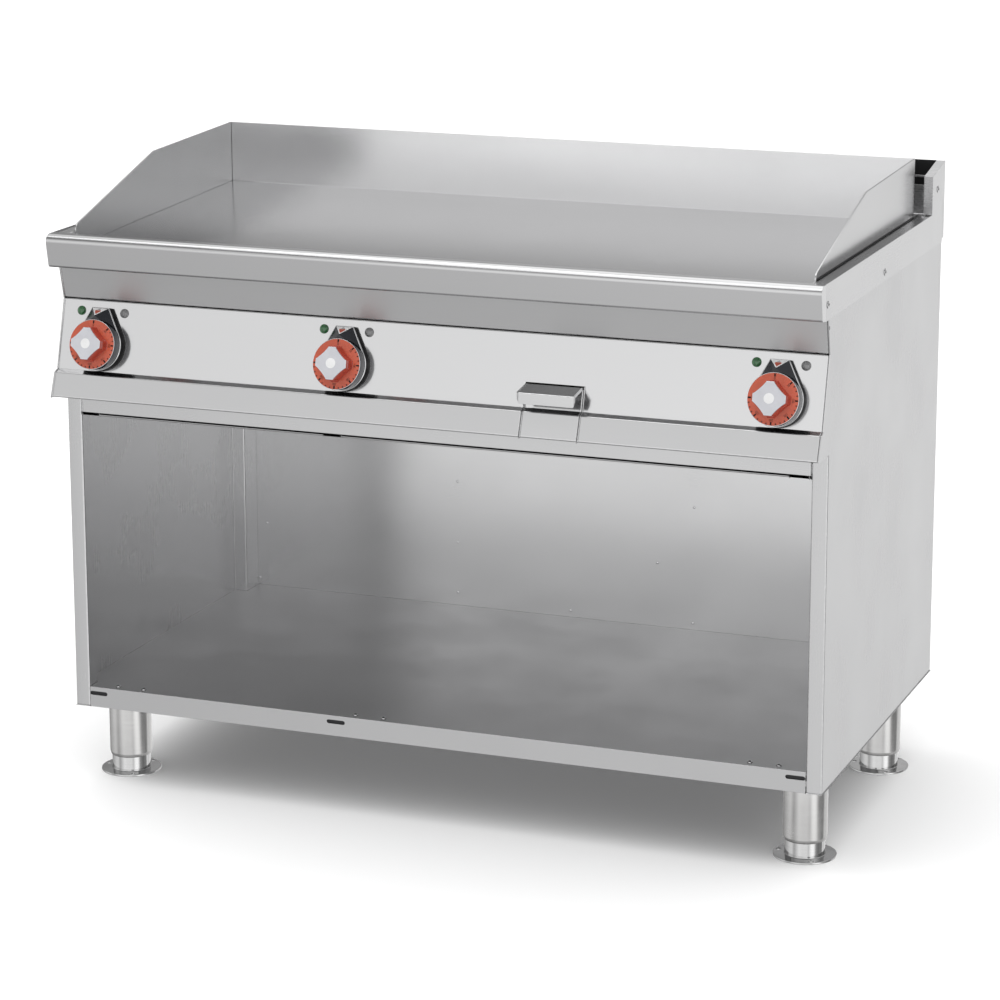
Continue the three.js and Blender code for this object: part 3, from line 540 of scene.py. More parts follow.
def evaluated_mesh(thing):
    """The mesh that an object's curve or modifiers give."""
    bpy.context.view_layer.update()
    return bpy.data.meshes.new_from_object(thing.evaluated_get(bpy.context.evaluated_depsgraph_get()))


def curve_mesh(curve):
    """The mesh of a curve or a text, which is then thrown away."""
    holder = bpy.data.objects.new(curve.name, curve)
    bpy.context.scene.collection.objects.link(holder)
    mesh = evaluated_mesh(holder)
    bpy.data.objects.remove(holder)
    bpy.data.curves.remove(curve)
    return mesh


def drilled(bm, cutters):
    """The solid with the cutters taken out of it, as a mesh."""
    things = []
    for part in [bm] + cutters:
        thing = bpy.data.objects.new("cut", meshed("cut", part))
        bpy.context.scene.collection.objects.link(thing)
        things.append(thing)
    for cutter in things[1:]:
        hole = things[0].modifiers.new("hole", "BOOLEAN")
        hole.operation = "DIFFERENCE"
        hole.solver = "EXACT"
        hole.object = cutter
    result = evaluated_mesh(things[0])
    for thing in things:
        mesh = thing.data
        bpy.data.objects.remove(thing)
        bpy.data.meshes.remove(mesh)
    return result


# ---- sheet metal

JOINT_WIDTH = 1.8 * MM
JOINT_SINK, JOINT_RISE = 0.2 * MM, 0.25 * MM
LIP_SLOTS = (-561, -160, 560)
LIP_SLOT_HEIGHT = 147
LIP_SHADE_SIZE = (34 * MM, 1.2 * MM, 9 * MM)
LIP_CORNER = 8 * MM


def lies_at(edge, axis, at):
    """Whether an edge lies in the plane at this place along an axis."""
    return all(abs(v.co[axis] - at) < 0.1 * MM for v in edge.verts)


def flush_at(axis, places):
    """Hairline edges in these planes, where a neighbour meets them, and a sheet's radii elsewhere."""
    return lambda edge: (
        HAIRLINE if any(lies_at(edge, axis, at) for at in places) else sheet_radius(edge, rim=HAIRLINE))


def riser_radius(edge):
    """The riser's folds are tight, and its foot meets the cabinet's side flush."""
    return HAIRLINE if lies_at(edge, 2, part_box("riser_shell")[0].z) else 0.2 * MM


def nose_radius(edge):
    """The nose's faces run from end cap to end cap, so its edges are only broken, except inside."""
    to_caps = all(abs(v.co.x) > HALF_WIDTH - 0.2 * MM for v in edge.verts)
    return 0.3 * MM if to_caps else sheet_radius(edge)


def lip_radius(edge):
    """The drawer front's bends, with a sharp back edge and wide round corners at its lip's foot."""
    low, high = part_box("drawer_front")
    if lies_at(edge, 2, high.z):
        return 2 * RIM
    lip_foot = min(v.co.z for v in frame["nodes"]["drawer_front"].data.vertices if v.co.y < low.y + MM)
    corner = all(
        abs(v.co.z - lip_foot) < 0.2 * MM and min(v.co.x - low.x, high.x - v.co.x) < 0.2 * MM
        and v.co.y < low.y + 2 * SHEET for v in edge.verts)
    across = abs(edge.verts[0].co.y - edge.verts[1].co.y) > 0.8 * SHEET
    return LIP_CORNER if corner and across else sheet_radius(edge)


def outer_skin(thing):
    """The corners of the box round a piece's outermost faces, at the cabinet's two sides."""
    places = [v.co for v in thing.data.vertices if abs(v.co.x) > HALF_WIDTH - 0.1 * MM]
    return [Vector(pick(place[axis] for place in places) for axis in range(3)) for pick in (min, max)]


def snug(thing, axis, at, by):
    """Closes most of the gap to the next piece, where the two are drawn tight by their screws."""
    for vertex in thing.data.vertices:
        if abs(vertex.co[axis] - at) < 0.05 * MM:
            vertex.co[axis] += by


def build_side(side, way):
    """The ledge, splash guard and cabinet side at one end."""
    node = f"worktop_side_rail_{side}"
    rail = refined(node, SATIN["Y"], flush_at(1, [corner.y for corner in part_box(node)]))
    low, high = outer_skin(rail)
    snug(rail, 1, high.y, TIGHT)
    snug(rail, 1, low.y, -TIGHT)
    snug(rail, 2, low.z, -TIGHT)
    refined(f"splash_{side}", SIDE_GUARD, plain_radius(0.5 * MM))
    node = f"side_panel_{side}"
    refined(node, SATIN["Z"], flush_at(2, [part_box(node)[1].z]))
    build_joint_line(side, way)


def build_joint_line(side, way):
    """The dark joint where a splash guard passes down through the ledge."""
    splash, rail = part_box(f"splash_{side}"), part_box(f"worktop_side_rail_{side}")
    inner = max(abs(corner.x) for corner in splash) + 0.02 * MM
    start, end = splash[0].y + 2 * MM, rail[1].y
    centre = (
        way * (inner + JOINT_WIDTH / 2), (start + end) / 2, rail[1].z + (JOINT_RISE - JOINT_SINK) / 2)
    strip = block(centre, (JOINT_WIDTH, end - start, JOINT_RISE + JOINT_SINK))
    eased(piece(f"splash_joint_{side}", strip, [DARK_JOINT_AND_SHADE], f"splash_{side}"), plain_radius(0.1 * MM), 2)


def build_riser():
    """The riser, with its inner faces painted near-black: painted shade in the deep channel."""
    shell = refined("riser_shell", SATIN["X"], riser_radius)
    snug(shell, 2, outer_skin(shell)[0].z, -TIGHT)
    low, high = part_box("riser_shell")
    # Faces inside the channel take the near-black steel: painted shade.
    shell.data.materials.append(SHADED)
    for polygon in shell.data.polygons:
        inward = polygon.normal.x * polygon.center.x < -0.3 * abs(polygon.center.x)
        forward = polygon.normal.y < -0.7 and polygon.center.y > (low.y + high.y) / 2
        covered = abs(polygon.center.x) < high.x - SHEET / 2
        if covered and (inward or forward):
            polygon.material_index = 2


def build_panel_and_drawer():
    """The control panel, tight over the drawer's lip, and the drawer's front with a dark painted reflection
    on its lip top.
    """
    panel = refined("control_panel", FASCIA)
    drawer_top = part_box("drawer_front")[1].z
    slot_top = min(v.co.z for v in panel.data.vertices if v.co.z > drawer_top)
    snug(panel, 2, slot_top, 0.35 * (drawer_top - slot_top) - TIGHT)
    front = refined("drawer_front", FASCIA, lip_radius)
    # The lip's wide upward faces take the near-black steel: a painted reflection.
    front.data.materials.append(HANDLE_TOP_REFLECTION)
    for polygon in front.data.polygons:
        if polygon.normal.z > 0.5 and polygon.area > 4 * CM2:
            polygon.material_index = 2


def build_floor_shelf():
    """The cabinet's floor, tight between its sides, with thin near-black plates behind the slots in its
    lip: painted shade.
    """
    shelf = refined("floor_shelf", INNER, plain_radius(0.4 * MM))
    for way, corner in zip((-1, 1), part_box("floor_shelf")):
        snug(shelf, 0, corner.x, way * TIGHT)
    # Near-black plates behind the lip's slots: painted shade.
    shade_plates = merged([block(from_front(x, 3, LIP_SLOT_HEIGHT), LIP_SHADE_SIZE) for x in LIP_SLOTS])
    eased(piece("lip_slot_shade", shade_plates, [SHADED], "floor_shelf"), plain_radius(0.3 * MM), 2)


def build_sheet_metal():
    refined("worktop_front_rail", POLISHED, nose_radius)
    for side, way in SIDES:
        build_side(side, way)
    refined("splash_rear", SPLASH, plain_radius(0.5 * MM))
    build_riser()
    build_panel_and_drawer()
    build_floor_shelf()
    refined("cooking_plate", PLATE, plain_radius(1.2 * MM))
    refined("insulation_board", WOOL, plain_radius(3 * MM), edge=WOOL)
    refined("terminal_block", IVORY, plain_radius(0.5 * MM), edge=IVORY)
    plain_sheets = (
        (SATIN["X"], ("riser_front_wall", "top_rail")), (UPPER, ("upper_fascia",)),
        (BACK, ("back_panel", "rear_cover")),
        (INNER, ("heat_shield", "drawer_tray", "drawer_guide", "drain_chute")))
    for material, nodes in plain_sheets:
        for node in nodes:
            refined(node, material)


# ---- knobs and lamps

SKIRT_RADIUS = 37.6 * MM
DIAL_RADIUS = 36.8 * MM
DIAL_FACE = 28 * MM
DIAL_THICKNESS = 0.9 * MM
LOBE_RADIUS = 24.5 * MM
CAP_FACE = 49 * MM
CAP_THICKNESS = 1.6 * MM
BADGE_RADIUS = 7.5 * MM
BEZEL_RADIUS = 39 * MM
BEZEL_DEPTH = 10 * MM
POCKET_RADIUS = SKIRT_RADIUS + 0.6 * MM
POCKET_FLOOR = 3 * MM
COLLAR_BORE = 5.5 * MM
CROWN_TOP = 57 * MM
CROWN_HALF = 14 * MM
CROWN_LEAN = math.atan2(CROWN_HALF, CROWN_TOP)
CROWN_TOUCH = CROWN_LEAN + math.acos(BEZEL_RADIUS / math.hypot(CROWN_HALF, CROWN_TOP))
CROWN_SHOULDER = Vector((BEZEL_RADIUS * math.sin(CROWN_TOUCH), BEZEL_RADIUS * math.cos(CROWN_TOUCH)))
PEAK_UP = 43.5 * MM
PEAK_OUT = 27.5 * MM
RIM_WIDTH = 1.6 * MM
CROWN_INSET = 0.7 * RIM_WIDTH
SPINDLE_RADIUS = 3 * MM
SPINDLE_BORE = SPINDLE_RADIUS + 0.4 * MM
SPINDLE_ENDS = (-24 * MM, 40 * MM)
LAMP_RADIUS = 7 * MM
LAMP_UP = 51 * MM
LAMP_SIDEWAYS = 36 * MM
MARK_STEP = math.radians(45)
MARK_NAMES = ("0", "50", "100", "150", "200", "250", "300")
LONG_MARK = (31.8 * MM, 36.3 * MM, 2.3 * MM)   # inner radius, outer radius, width
SHORT_MARK = (34.0 * MM, 36.3 * MM, 1.6 * MM)
NUMBER_RADIUS = 29.2 * MM

# Each tile's corners are shares of the window's half-width, and of the way down to its peak.
TILE_THICKNESS = 0.3 * MM
WINDOW_TILES = (
    ("window", WHITE, ((-0.98, 0.02), (0.98, 0.02), (0, 0.97)), 0.0),
    ("pointer", POINTER_RED, ((-0.4, 0.42), (-0.3, 0.32), (0.3, 0.32), (0.4, 0.42), (0, 0.84)), 0.25 * MM),
    ("pointer_tip", GREY, ((-0.248, 0.28), (0, 0.08), (0.248, 0.28)), 0.25 * MM))


def panel_frame(zone):
    """The panel's own frame at a knob: Z out of the panel, and Y up its face."""
    joint = JOINTS[f"knob_turn_{zone}"]
    out = Vector(joint["axis"]).normalized()
    right = Vector((1, 0, 0))
    turn = Matrix((right, out.cross(right), out)).transposed().to_4x4()
    return Matrix.Translation(joint["pos_m"]) @ turn


def lobed_outline(radius):
    """Four flat-tipped lobes with hollow flanks between them."""
    tip, corner, shoulder, waist = (k * radius for k in (0.19, 0.25, 0.95, 0.55))
    outline = []
    for quarter in range(4):
        turn = Matrix.Rotation(-quarter * math.pi / 2, 2)
        points = [
            turn @ Vector(p) for p in (
                (tip, radius), (corner, radius), (corner, shoulder), (waist, waist),
                (shoulder, corner), (radius, corner), (radius, tip))]
        outline.append(points[0])
        for k in (0, 2, 4):
            outline += curved(*points[k:k + 3], 8)
    return outline


def crown_reach(angle):
    """How far the collar's outline is from its centre, in one direction."""
    from_top = abs(math.remainder(angle - math.pi / 2, math.tau))
    if from_top <= CROWN_LEAN:
        return CROWN_TOP / math.cos(from_top)
    if from_top < CROWN_TOUCH:
        return BEZEL_RADIUS / math.cos(CROWN_TOUCH - from_top)
    return BEZEL_RADIUS


def crown_angles(count=144):
    """Even directions round the collar, with its crown's two corners exact."""
    corner = math.atan2(CROWN_TOP, CROWN_HALF)
    wanted = [math.tau * k / count for k in range(count)]
    for exact in (corner, math.pi - corner):
        nearest = min(range(count), key=lambda k: abs(wanted[k] - exact))
        wanted[nearest] = exact
    return wanted


def collar():
    """The dark collar: rounded rim, pocket for the knob, and bore for the spindle."""
    angles = crown_angles()

    def outer(inset, z):
        return [polar(crown_reach(a) - inset, a, z) for a in angles]

    def inner(radius, z):
        return [polar(radius, a, z) for a in angles]

    rim = [outer(RIM_WIDTH * (1 - across), BEZEL_DEPTH - RIM_WIDTH * (1 - up))
           for across, up in quarter_turn(4)]
    pocket = [inner(POCKET_RADIUS + 0.1 * MM, BEZEL_DEPTH), inner(POCKET_RADIUS, BEZEL_DEPTH - 0.1 * MM),
              inner(POCKET_RADIUS, POCKET_FLOOR)]
    bore = [inner(COLLAR_BORE, POCKET_FLOOR), inner(COLLAR_BORE, GAP)]
    return ringed([outer(0, GAP)] + rim + pocket + bore, closed=True)


def crown_corners():
    """The corners of the crown's raised face: its top's ends, its shoulders, and its peak."""
    foot = BEZEL_DEPTH - 0.2 * MM
    top, half, wide = CROWN_TOP - CROWN_INSET, CROWN_HALF - CROWN_INSET, CROWN_SHOULDER.x - CROWN_INSET
    return [Vector((-half, top, foot)), Vector((half, top, foot)), Vector((wide, CROWN_SHOULDER.y, foot)),
            Vector((-wide, CROWN_SHOULDER.y, foot)), Vector((0, PEAK_UP, PEAK_OUT))]


def crown():
    """The crown's raised face, hollowed round the knob's skirt."""
    bm = bmesh.new()
    for corner in crown_corners() + [Vector((0, CROWN_SHOULDER.y, PEAK_OUT))]:
        bm.verts.new(corner)
    bmesh.ops.convex_hull(bm, input=bm.verts)
    return drilled(bm, [plug(POCKET_RADIUS, 0, 2 * PEAK_OUT, 128)])


def on_window(across, down, lift):
    """A point of the pointer window: a share of its width, and of the way down to its peak."""
    left, right, _, _, peak = crown_corners()
    middle = (left + right) / 2
    out = (right - left).cross(peak - middle).normalized()
    if out.z < 0:
        out = -out
    return middle + (right - left) / 2 * across + (peak - middle) * down + out * lift


def build_bezel(zone):
    """One collar with its bright rim, its flanks painted near-black and dull (painted shade), its crown,
    and the pointer window's tiles.
    """
    place = panel_frame(zone)
    node = f"knob_bezel_{zone}"
    rim = piece(f"{node}_collar", collar(), [COLLAR, CHROME, COLLAR_SIDE_SHADE], node, True, place)
    inverse = place.inverted()
    for polygon in rim.data.polygons:
        centre = inverse @ polygon.center
        near_edge = crown_reach(math.atan2(centre.y, centre.x)) - centre.xy.length < 1.05 * RIM_WIDTH
        # Upright faces by the rim take the near-black flank material: painted shade.
        upright = centre.z < BEZEL_DEPTH - RIM_WIDTH
        polygon.material_index = 2 if near_edge and upright else int(near_edge)
    creased(rim, 40)
    eased(piece(f"{node}_crown", crown(), [COLLAR], node, place=place), plain_radius(0.25 * MM), 2)
    for suffix, material, corners, lift in WINDOW_TILES:
        tile = ringed([[on_window(*corner, lift + up) for corner in corners] for up in (0, TILE_THICKNESS)])
        thing = piece(f"{node}_{suffix}", tile, [material], node, place=place)
        eased(thing, plain_radius(0.1 * MM), 2)


def tick(angle, inner, outer, width):
    """A printed mark on the dial, seen clockwise from its top."""
    half = width / 2
    bar = prism([(-half, inner), (half, inner), (half, outer), (-half, outer)], DIAL_FACE, DIAL_FACE + LIFT)
    return moved(bar, Matrix.Rotation(-angle, 4, "Z"))


def lettering(text, size):
    """Flat lettering, centred on the origin."""
    curve = bpy.data.curves.new("lettering", "FONT")
    curve.body = text
    curve.size = size
    curve.align_x = "CENTER"
    curve.align_y = "CENTER"
    curve.extrude = LIFT / 2
    curve.resolution_u = 3
    mesh = curve_mesh(curve)
    bm = bmesh.new()
    bm.from_mesh(mesh)
    bpy.data.meshes.remove(mesh)
    return bm


def dial_marks():
    """Long marks with numbers every 45 degrees, and three short ones between the heat settings."""
    parts = []
    for k, name in enumerate(MARK_NAMES):
        angle = k * MARK_STEP
        parts.append(tick(angle, *LONG_MARK))
        number = moved(lettering(name, 5.0 * MM if k else 6.0 * MM), Matrix.Diagonal((0.85, 1, 1, 1)))
        up = Matrix.Translation((0, NUMBER_RADIUS, DIAL_FACE + LIFT / 2))
        parts.append(moved(number, Matrix.Rotation(-angle, 4, "Z") @ up))
        if 0 < k < len(MARK_NAMES) - 1:
            parts += [tick(angle + MARK_STEP * step / 4, *SHORT_MARK) for step in (1, 2, 3)]
    return merged(parts)


def skirt_profile():
    """The knob's skirt: a cup that holds the dial's disc in a rim."""
    top, face = DIAL_FACE - GAP, DIAL_FACE - DIAL_THICKNESS - GAP
    bottom = BEZEL_DEPTH + 0.5 * MM
    inside = SKIRT_RADIUS - 2 * MM
    groove = DIAL_RADIUS + 0.15 * MM
    return rounded([
        (SPINDLE_BORE, face), (groove, face), (groove, top, 0.15 * MM), (SKIRT_RADIUS, top, 0.4 * MM),
        (SKIRT_RADIUS, bottom, 0.4 * MM), (inside, bottom), (inside, face - 2 * MM, 1.5 * MM),
        (SPINDLE_BORE, face - 2 * MM)])


def disc_profile():
    under = DIAL_FACE - DIAL_THICKNESS
    return rounded([(SPINDLE_BORE, under), (DIAL_RADIUS, under), (DIAL_RADIUS, DIAL_FACE, 0.3 * MM),
                    (SPINDLE_BORE, DIAL_FACE)])


def badge_profile():
    under, over = CAP_FACE - 0.3 * MM, CAP_FACE + LIFT
    return rounded([(0, under), (BADGE_RADIUS, under), (BADGE_RADIUS, over, 0.04 * MM), (0, over)])


def spindle_profile():
    back, front = SPINDLE_ENDS
    return rounded([(0, back, 0), (SPINDLE_RADIUS, back), (SPINDLE_RADIUS, front), (0, front, 0)], 0.5 * MM)


def boss():
    """The dial's grip: a lobed column that flares a little into the disc."""
    top = CAP_FACE - CAP_THICKNESS - GAP
    outline = lobed_outline(LOBE_RADIUS)
    levels = [(1.09, DIAL_FACE - 0.3 * MM), (1.06, DIAL_FACE + 0.3 * MM), (1.03, DIAL_FACE + 1.2 * MM),
              (1.012, DIAL_FACE + 3 * MM), (1.0, DIAL_FACE + 8 * MM), (1.0, top - 0.4 * MM), (0.985, top)]
    return ringed([[(x * k, y * k, z) for x, y in outline] for k, z in levels])


def build_knob(zone):
    """Everything that turns: skirt with its bright rim, dial, marks, grip, cap, badge and spindle."""
    place = panel_frame(zone)
    dial, cap = f"knob_dial_{zone}", f"knob_cap_{zone}"

    def add(node, suffix, bm, materials, stands=True):
        return piece(f"{node}_{suffix}", bm, materials, node, stands, place, f"knob_{zone}")

    skirt = add(f"knob_skirt_{zone}", "turned", lathe(skirt_profile()), [GUNMETAL, CHROME])
    inverse = place.inverted()
    for polygon in creased(skirt, 35).data.polygons:
        if (inverse @ polygon.center).z > DIAL_FACE - DIAL_THICKNESS:
            polygon.material_index = 1
    creased(add(dial, "disc", lathe(disc_profile()), [ORANGE]), 35)
    # The grip's sides take the darker orange: painted shade.
    creased(add(dial, "boss", boss(), [ORANGE_GRIP_SHADE], False), 50)
    marks = add(dial, "marks", dial_marks(), [INK], False)
    for polygon in marks.data.polygons:
        polygon.use_smooth = False
    plate = prism(lobed_outline(LOBE_RADIUS - 0.5 * MM), CAP_FACE - CAP_THICKNESS, CAP_FACE)
    eased(add(cap, "plate", plate, [CAP, CHROME]), plain_radius(0.35 * MM), 2)
    creased(add(cap, "badge", lathe(badge_profile()), [WHITE], False), 30)
    add(f"knob_spindle_{zone}", "turned", lathe(spindle_profile(), 32), [SPINDLE])


def build_lamp(zone, color, side, material):
    """A domed lens with a moulded flange, on its stem."""
    node = f"lamp_{color}_{zone}"
    place = panel_frame(zone) @ Matrix.Translation((side * LAMP_SIDEWAYS, LAMP_UP, 0))
    stem, stem_end, waist, shoulder, rise = 5.6 * MM, -14 * MM, 6.1 * MM, 1.4 * MM, 4.4 * MM
    outline = [(0, stem_end), (stem, stem_end), (stem, GAP), (LAMP_RADIUS, GAP), (LAMP_RADIUS, 0.9 * MM),
               (LAMP_RADIUS - 0.3 * MM, shoulder - 0.2 * MM), (waist, shoulder)]
    outline += [((waist - 0.1 * MM) * across, shoulder + (rise - shoulder) * up)
                for across, up in quarter_turn(8)[1:]]
    creased(piece(f"{node}_lens", lathe(outline, 48), [material], node, True, place), 50)


def build_knobs():
    for zone in ZONES:
        build_bezel(zone)
        build_knob(zone)
        build_lamp(zone, "green", -1, GREEN_LENS)
        build_lamp(zone, "clear", 1, CLEAR_LENS)
        refined(f"thermostat_{zone}", BLACK, plain_radius(1.2 * MM), edge=BLACK)


# ---- heating and supply

ELEMENT_RADIUS = 4 * MM
ELEMENT_RUNS = 4
SLEEVE_LENGTH = 16 * MM
GLAND_BODY, GLAND_BORE, GLAND_SEAT = 10 * MM, 6.5 * MM, 7 * MM
GLAND_THREADS = 7
LOUVRE_COLUMNS, LOUVRE_ROWS = 6, 3
LOUVRE_PITCH = (150 * MM, 22 * MM)
LOUVRE_TOP = 790 * MM
LOUVRE_WIDTH = 96 * MM
LOUVRE_HEIGHT = 8.2 * MM
LOUVRE_DEPTH = 3.5 * MM
LOUVRE_WALL = 0.8 * MM


def tube_along(points, radius):
    """A round tube that follows a line of points, as a mesh with closed ends."""
    curve = bpy.data.curves.new("tube", "CURVE")
    curve.dimensions = "3D"
    curve.bevel_depth = radius
    curve.bevel_resolution = 6
    curve.use_fill_caps = True
    line = curve.splines.new("POLY")
    line.points.add(len(points) - 1)
    for made, point in zip(line.points, points):
        made.co = (*point, 1)
    return curve_mesh(curve)


def serpentine(low, high, slope):
    """A line that runs to and fro in a sloping box, with round turns."""
    pitch = (high.x - low.x - 2 * ELEMENT_RADIUS) / (ELEMENT_RUNS - 1)
    ends = (low.y + ELEMENT_RADIUS + pitch / 2, high.y - ELEMENT_RADIUS - pitch / 2)
    points = []

    def go(x, y):
        points.append(Vector((x, y, low.z + ELEMENT_RADIUS + (y - low.y) * slope)))

    for run in range(ELEMENT_RUNS):
        x = low.x + ELEMENT_RADIUS + run * pitch
        way = -1 if run % 2 else 1
        start, end = ends[::way]
        go(x, start)
        go(x, end)
        if run < ELEMENT_RUNS - 1:
            for turn in (math.pi * k / 12 for k in range(1, 12)):
                go(x + pitch / 2 * (1 - math.cos(turn)), end + way * pitch / 2 * math.sin(turn))
    return points


def build_element(zone):
    """A serpentine sheathed tube under one zone of the plate, with a ceramic sleeve on each end."""
    node = f"heating_element_{zone}"
    low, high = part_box(node)
    slope = (high.z - low.z - 2 * ELEMENT_RADIUS) / (high.y - low.y)
    points = serpentine(low, high, slope)
    piece(f"{node}_tube", tube_along(points, ELEMENT_RADIUS), [SHEATH], node, stands=True)
    inner, outer = ELEMENT_RADIUS + 0.1 * MM, ELEMENT_RADIUS + 1.2 * MM
    profile = rounded(
        [(inner, 0), (outer, 0), (outer, SLEEVE_LENGTH), (inner, SLEEVE_LENGTH)], 0.4 * MM, 2)
    sleeves = [moved(lathe(profile, 32), facing(end + Vector((0, MM, 0)), (0, 1, slope)))
               for end in (points[0], points[-1])]
    piece(f"{node}_sleeves", merged(sleeves), [IVORY], node)


def gland_profile(reach_in, reach_out, width):
    """A threaded body through the cover, and a domed clamping nut over the hexagon."""
    root, nut = GLAND_BODY - 0.8 * MM, width - 0.6 * MM
    outline = [(GLAND_BORE, reach_in)]
    for k in range(GLAND_THREADS):
        z = reach_in + k * (-reach_in - MM) / GLAND_THREADS
        outline += [(root, z), (GLAND_BODY, z + 0.7 * MM), (GLAND_BODY, z + 1.1 * MM)]
    return rounded(outline + [
        (root, -MM), (root, GLAND_SEAT), (nut, GLAND_SEAT, 0.3 * MM), (nut, reach_out - 4 * MM, 3 * MM),
        (GLAND_BODY - MM, reach_out, 1.5 * MM), (GLAND_BORE, reach_out, 0.8 * MM)])


def build_gland():
    """The cable gland: body with its nut, and a hexagon against the cover."""
    node = "cable_gland"
    low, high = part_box(node)
    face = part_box("rear_cover")[1].y
    place = facing(((low.x + high.x) / 2, face, (low.z + high.z) / 2), (0, 1, 0))
    width = (high.x - low.x) / 2
    body = lathe(gland_profile(low.y - face, high.y - face, width), 72)
    creased(piece(f"{node}_body", body, [NYLON], node, True, place), 40)
    corners = [polar(width, math.tau * k / 6) for k in range(6)]
    bore = plug(GLAND_BODY, -MM, 2 * GLAND_SEAT, 48)
    hexagon = drilled(prism(corners, GAP, GLAND_SEAT - 0.2 * MM), [bore])
    eased(piece(f"{node}_hexagon", hexagon, [NYLON], node, place=place), plain_radius(0.5 * MM), 2)


def louvre(x, face, z, depth):
    """A pressed hood over a cooling slot, open towards the floor."""
    stations = 24
    rings = []
    for i in range(stations + 1):
        across = 2 * i / stations - 1
        bulge = (1 - across ** 8) ** 0.5
        arcs = [[
            (x + across * (LOUVRE_WIDTH / 2 - wall),
             face + LIFT + max((depth - wall) * bulge, LIFT) * out, z + (LOUVRE_HEIGHT - wall) * up)
            for up, out in quarter_turn(6)] for wall in (0, LOUVRE_WALL)]
        rings.append(arcs[0] + arcs[1][::-1])
    return ringed(rings)


def build_louvres():
    """Hoods in rows over the rear cover's slots, inside the CAD's box."""
    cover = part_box("rear_cover")
    depth = min(LOUVRE_DEPTH, CAD_BOX[1].y - cover[1].y - 0.1 * MM)
    if depth < MM:
        return
    pitch_x, pitch_z = LOUVRE_PITCH
    hoods = []
    for column in range(LOUVRE_COLUMNS):
        x = (column - (LOUVRE_COLUMNS - 1) / 2) * pitch_x
        hoods += [louvre(x, cover[1].y, LOUVRE_TOP - row * pitch_z, depth) for row in range(LOUVRE_ROWS)]
    creased(piece("rear_cover_louvres", merged(hoods), [BACK], "rear_cover"), 50)


def build_heating():
    for zone in ZONES:
        build_element(zone)
    build_gland()
    build_louvres()


# ---- legs

TUBE_RADIUS = 33 * MM
TUBE_WALL = 2.4 * MM
TUBE_BOTTOM = 26 * MM
SLEEVE_RADIUS = 30 * MM
SLEEVE_WALL = 4 * MM
FLANGE_RADIUS = 47 * MM
FLANGE_THICKNESS = 3 * MM
FLANGE_HOLES = 3
HOLE_CIRCLE = 40 * MM
HOLE_RADIUS = 3.2 * MM
COUNTERSINK = 1.6 * MM


def leg_tube(top):
    """A capped tube whose foot is drawn in a little."""
    inside, cap = TUBE_RADIUS - TUBE_WALL, top - 5 * MM
    return lathe(rounded([
        (0, top), (0, cap), (inside, cap), (inside, TUBE_BOTTOM, 0.6 * MM),
        (TUBE_RADIUS - 1.6 * MM, TUBE_BOTTOM, 0.8 * MM), (TUBE_RADIUS, TUBE_BOTTOM + 5 * MM, 6 * MM),
        (TUBE_RADIUS, top, 0.4 * MM)]), 128)


def foot_sleeve(top):
    """The telescoping foot, and its flange with three countersunk holes."""
    cup, floor = SLEEVE_RADIUS - SLEEVE_WALL, 2 * FLANGE_THICKNESS
    profile = rounded([
        (0, 0), (FLANGE_RADIUS, 0, 0.4 * MM), (FLANGE_RADIUS, FLANGE_THICKNESS, 1.0 * MM),
        (SLEEVE_RADIUS, FLANGE_THICKNESS, 1.2 * MM), (SLEEVE_RADIUS, top, 0.5 * MM),
        (cup, top, 0.5 * MM), (cup, floor), (0, floor)])
    over = FLANGE_THICKNESS + 0.4 * MM
    wide = HOLE_RADIUS + COUNTERSINK
    drill = [(0, -MM), (HOLE_RADIUS, -MM), (HOLE_RADIUS, COUNTERSINK), (wide, over), (0, over)]
    turns = (math.pi + math.tau * k / FLANGE_HOLES for k in range(FLANGE_HOLES))
    cutters = [moved(lathe(drill, 24), Matrix.Translation(polar(HOLE_CIRCLE, turn, 0))) for turn in turns]
    return drilled(lathe(profile, 128), cutters)


def build_legs():
    for place_name in (f"{row}_{side}" for row in ("front", "rear") for side, _ in SIDES):
        leg, foot = f"leg_{place_name}", f"foot_{place_name}"
        low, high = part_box(leg)
        place = Matrix.Translation(((low.x + high.x) / 2, (low.y + high.y) / 2, 0))
        creased(piece(f"{leg}_tube", leg_tube(high.z), [TUBE], leg, True, place), 40)
        sleeve = foot_sleeve(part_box(foot)[1].z)
        creased(piece(f"{foot}_sleeve", sleeve, [FOOT], foot, True, place, f"leveller_{place_name}"), 35)


# ---- fasteners

# Millimetres from the cabinet's front face, its middle, and the floor.
SIDE_SCREWS = ((-20, 846), (291, 837), (606, 912))
SIDE_STUD = (-9, 811)
SIDE_FACE = 600
LEDGE_SCREW = (588, 562, 874.6)
FLOOR_SCREWS = (-533.5, -489.9, -133.2, -87.3, 487.7, 531.6)
BACK_RIVETS = (
    (-558, 267), (-573, 169), (-207, 371.5), (-207, 266), (-207, 179), (-6, 168), (145, 265),
    (207, 364.5), (206.5, 168))
EDGE_MARGIN = 9 * MM


def pan_head(radius, height):
    """A domed screw head, standing on its seat."""
    dome = [(radius * across, height * (0.25 + 0.75 * up)) for across, up in quarter_turn(6)]
    return lathe([(0, -0.4 * MM), (radius, -0.4 * MM)] + dome, 24)


def cross_recess(radius, height):
    """The cross in a screw's head, painted dark: painted shade."""
    arm, width = 0.55 * radius, 0.16 * radius
    return merged([
        prism([(-a, -b), (a, -b), (a, b), (-a, b)], 0.6 * height, 1.02 * height)
        for a, b in ((arm, width), (width, arm))])


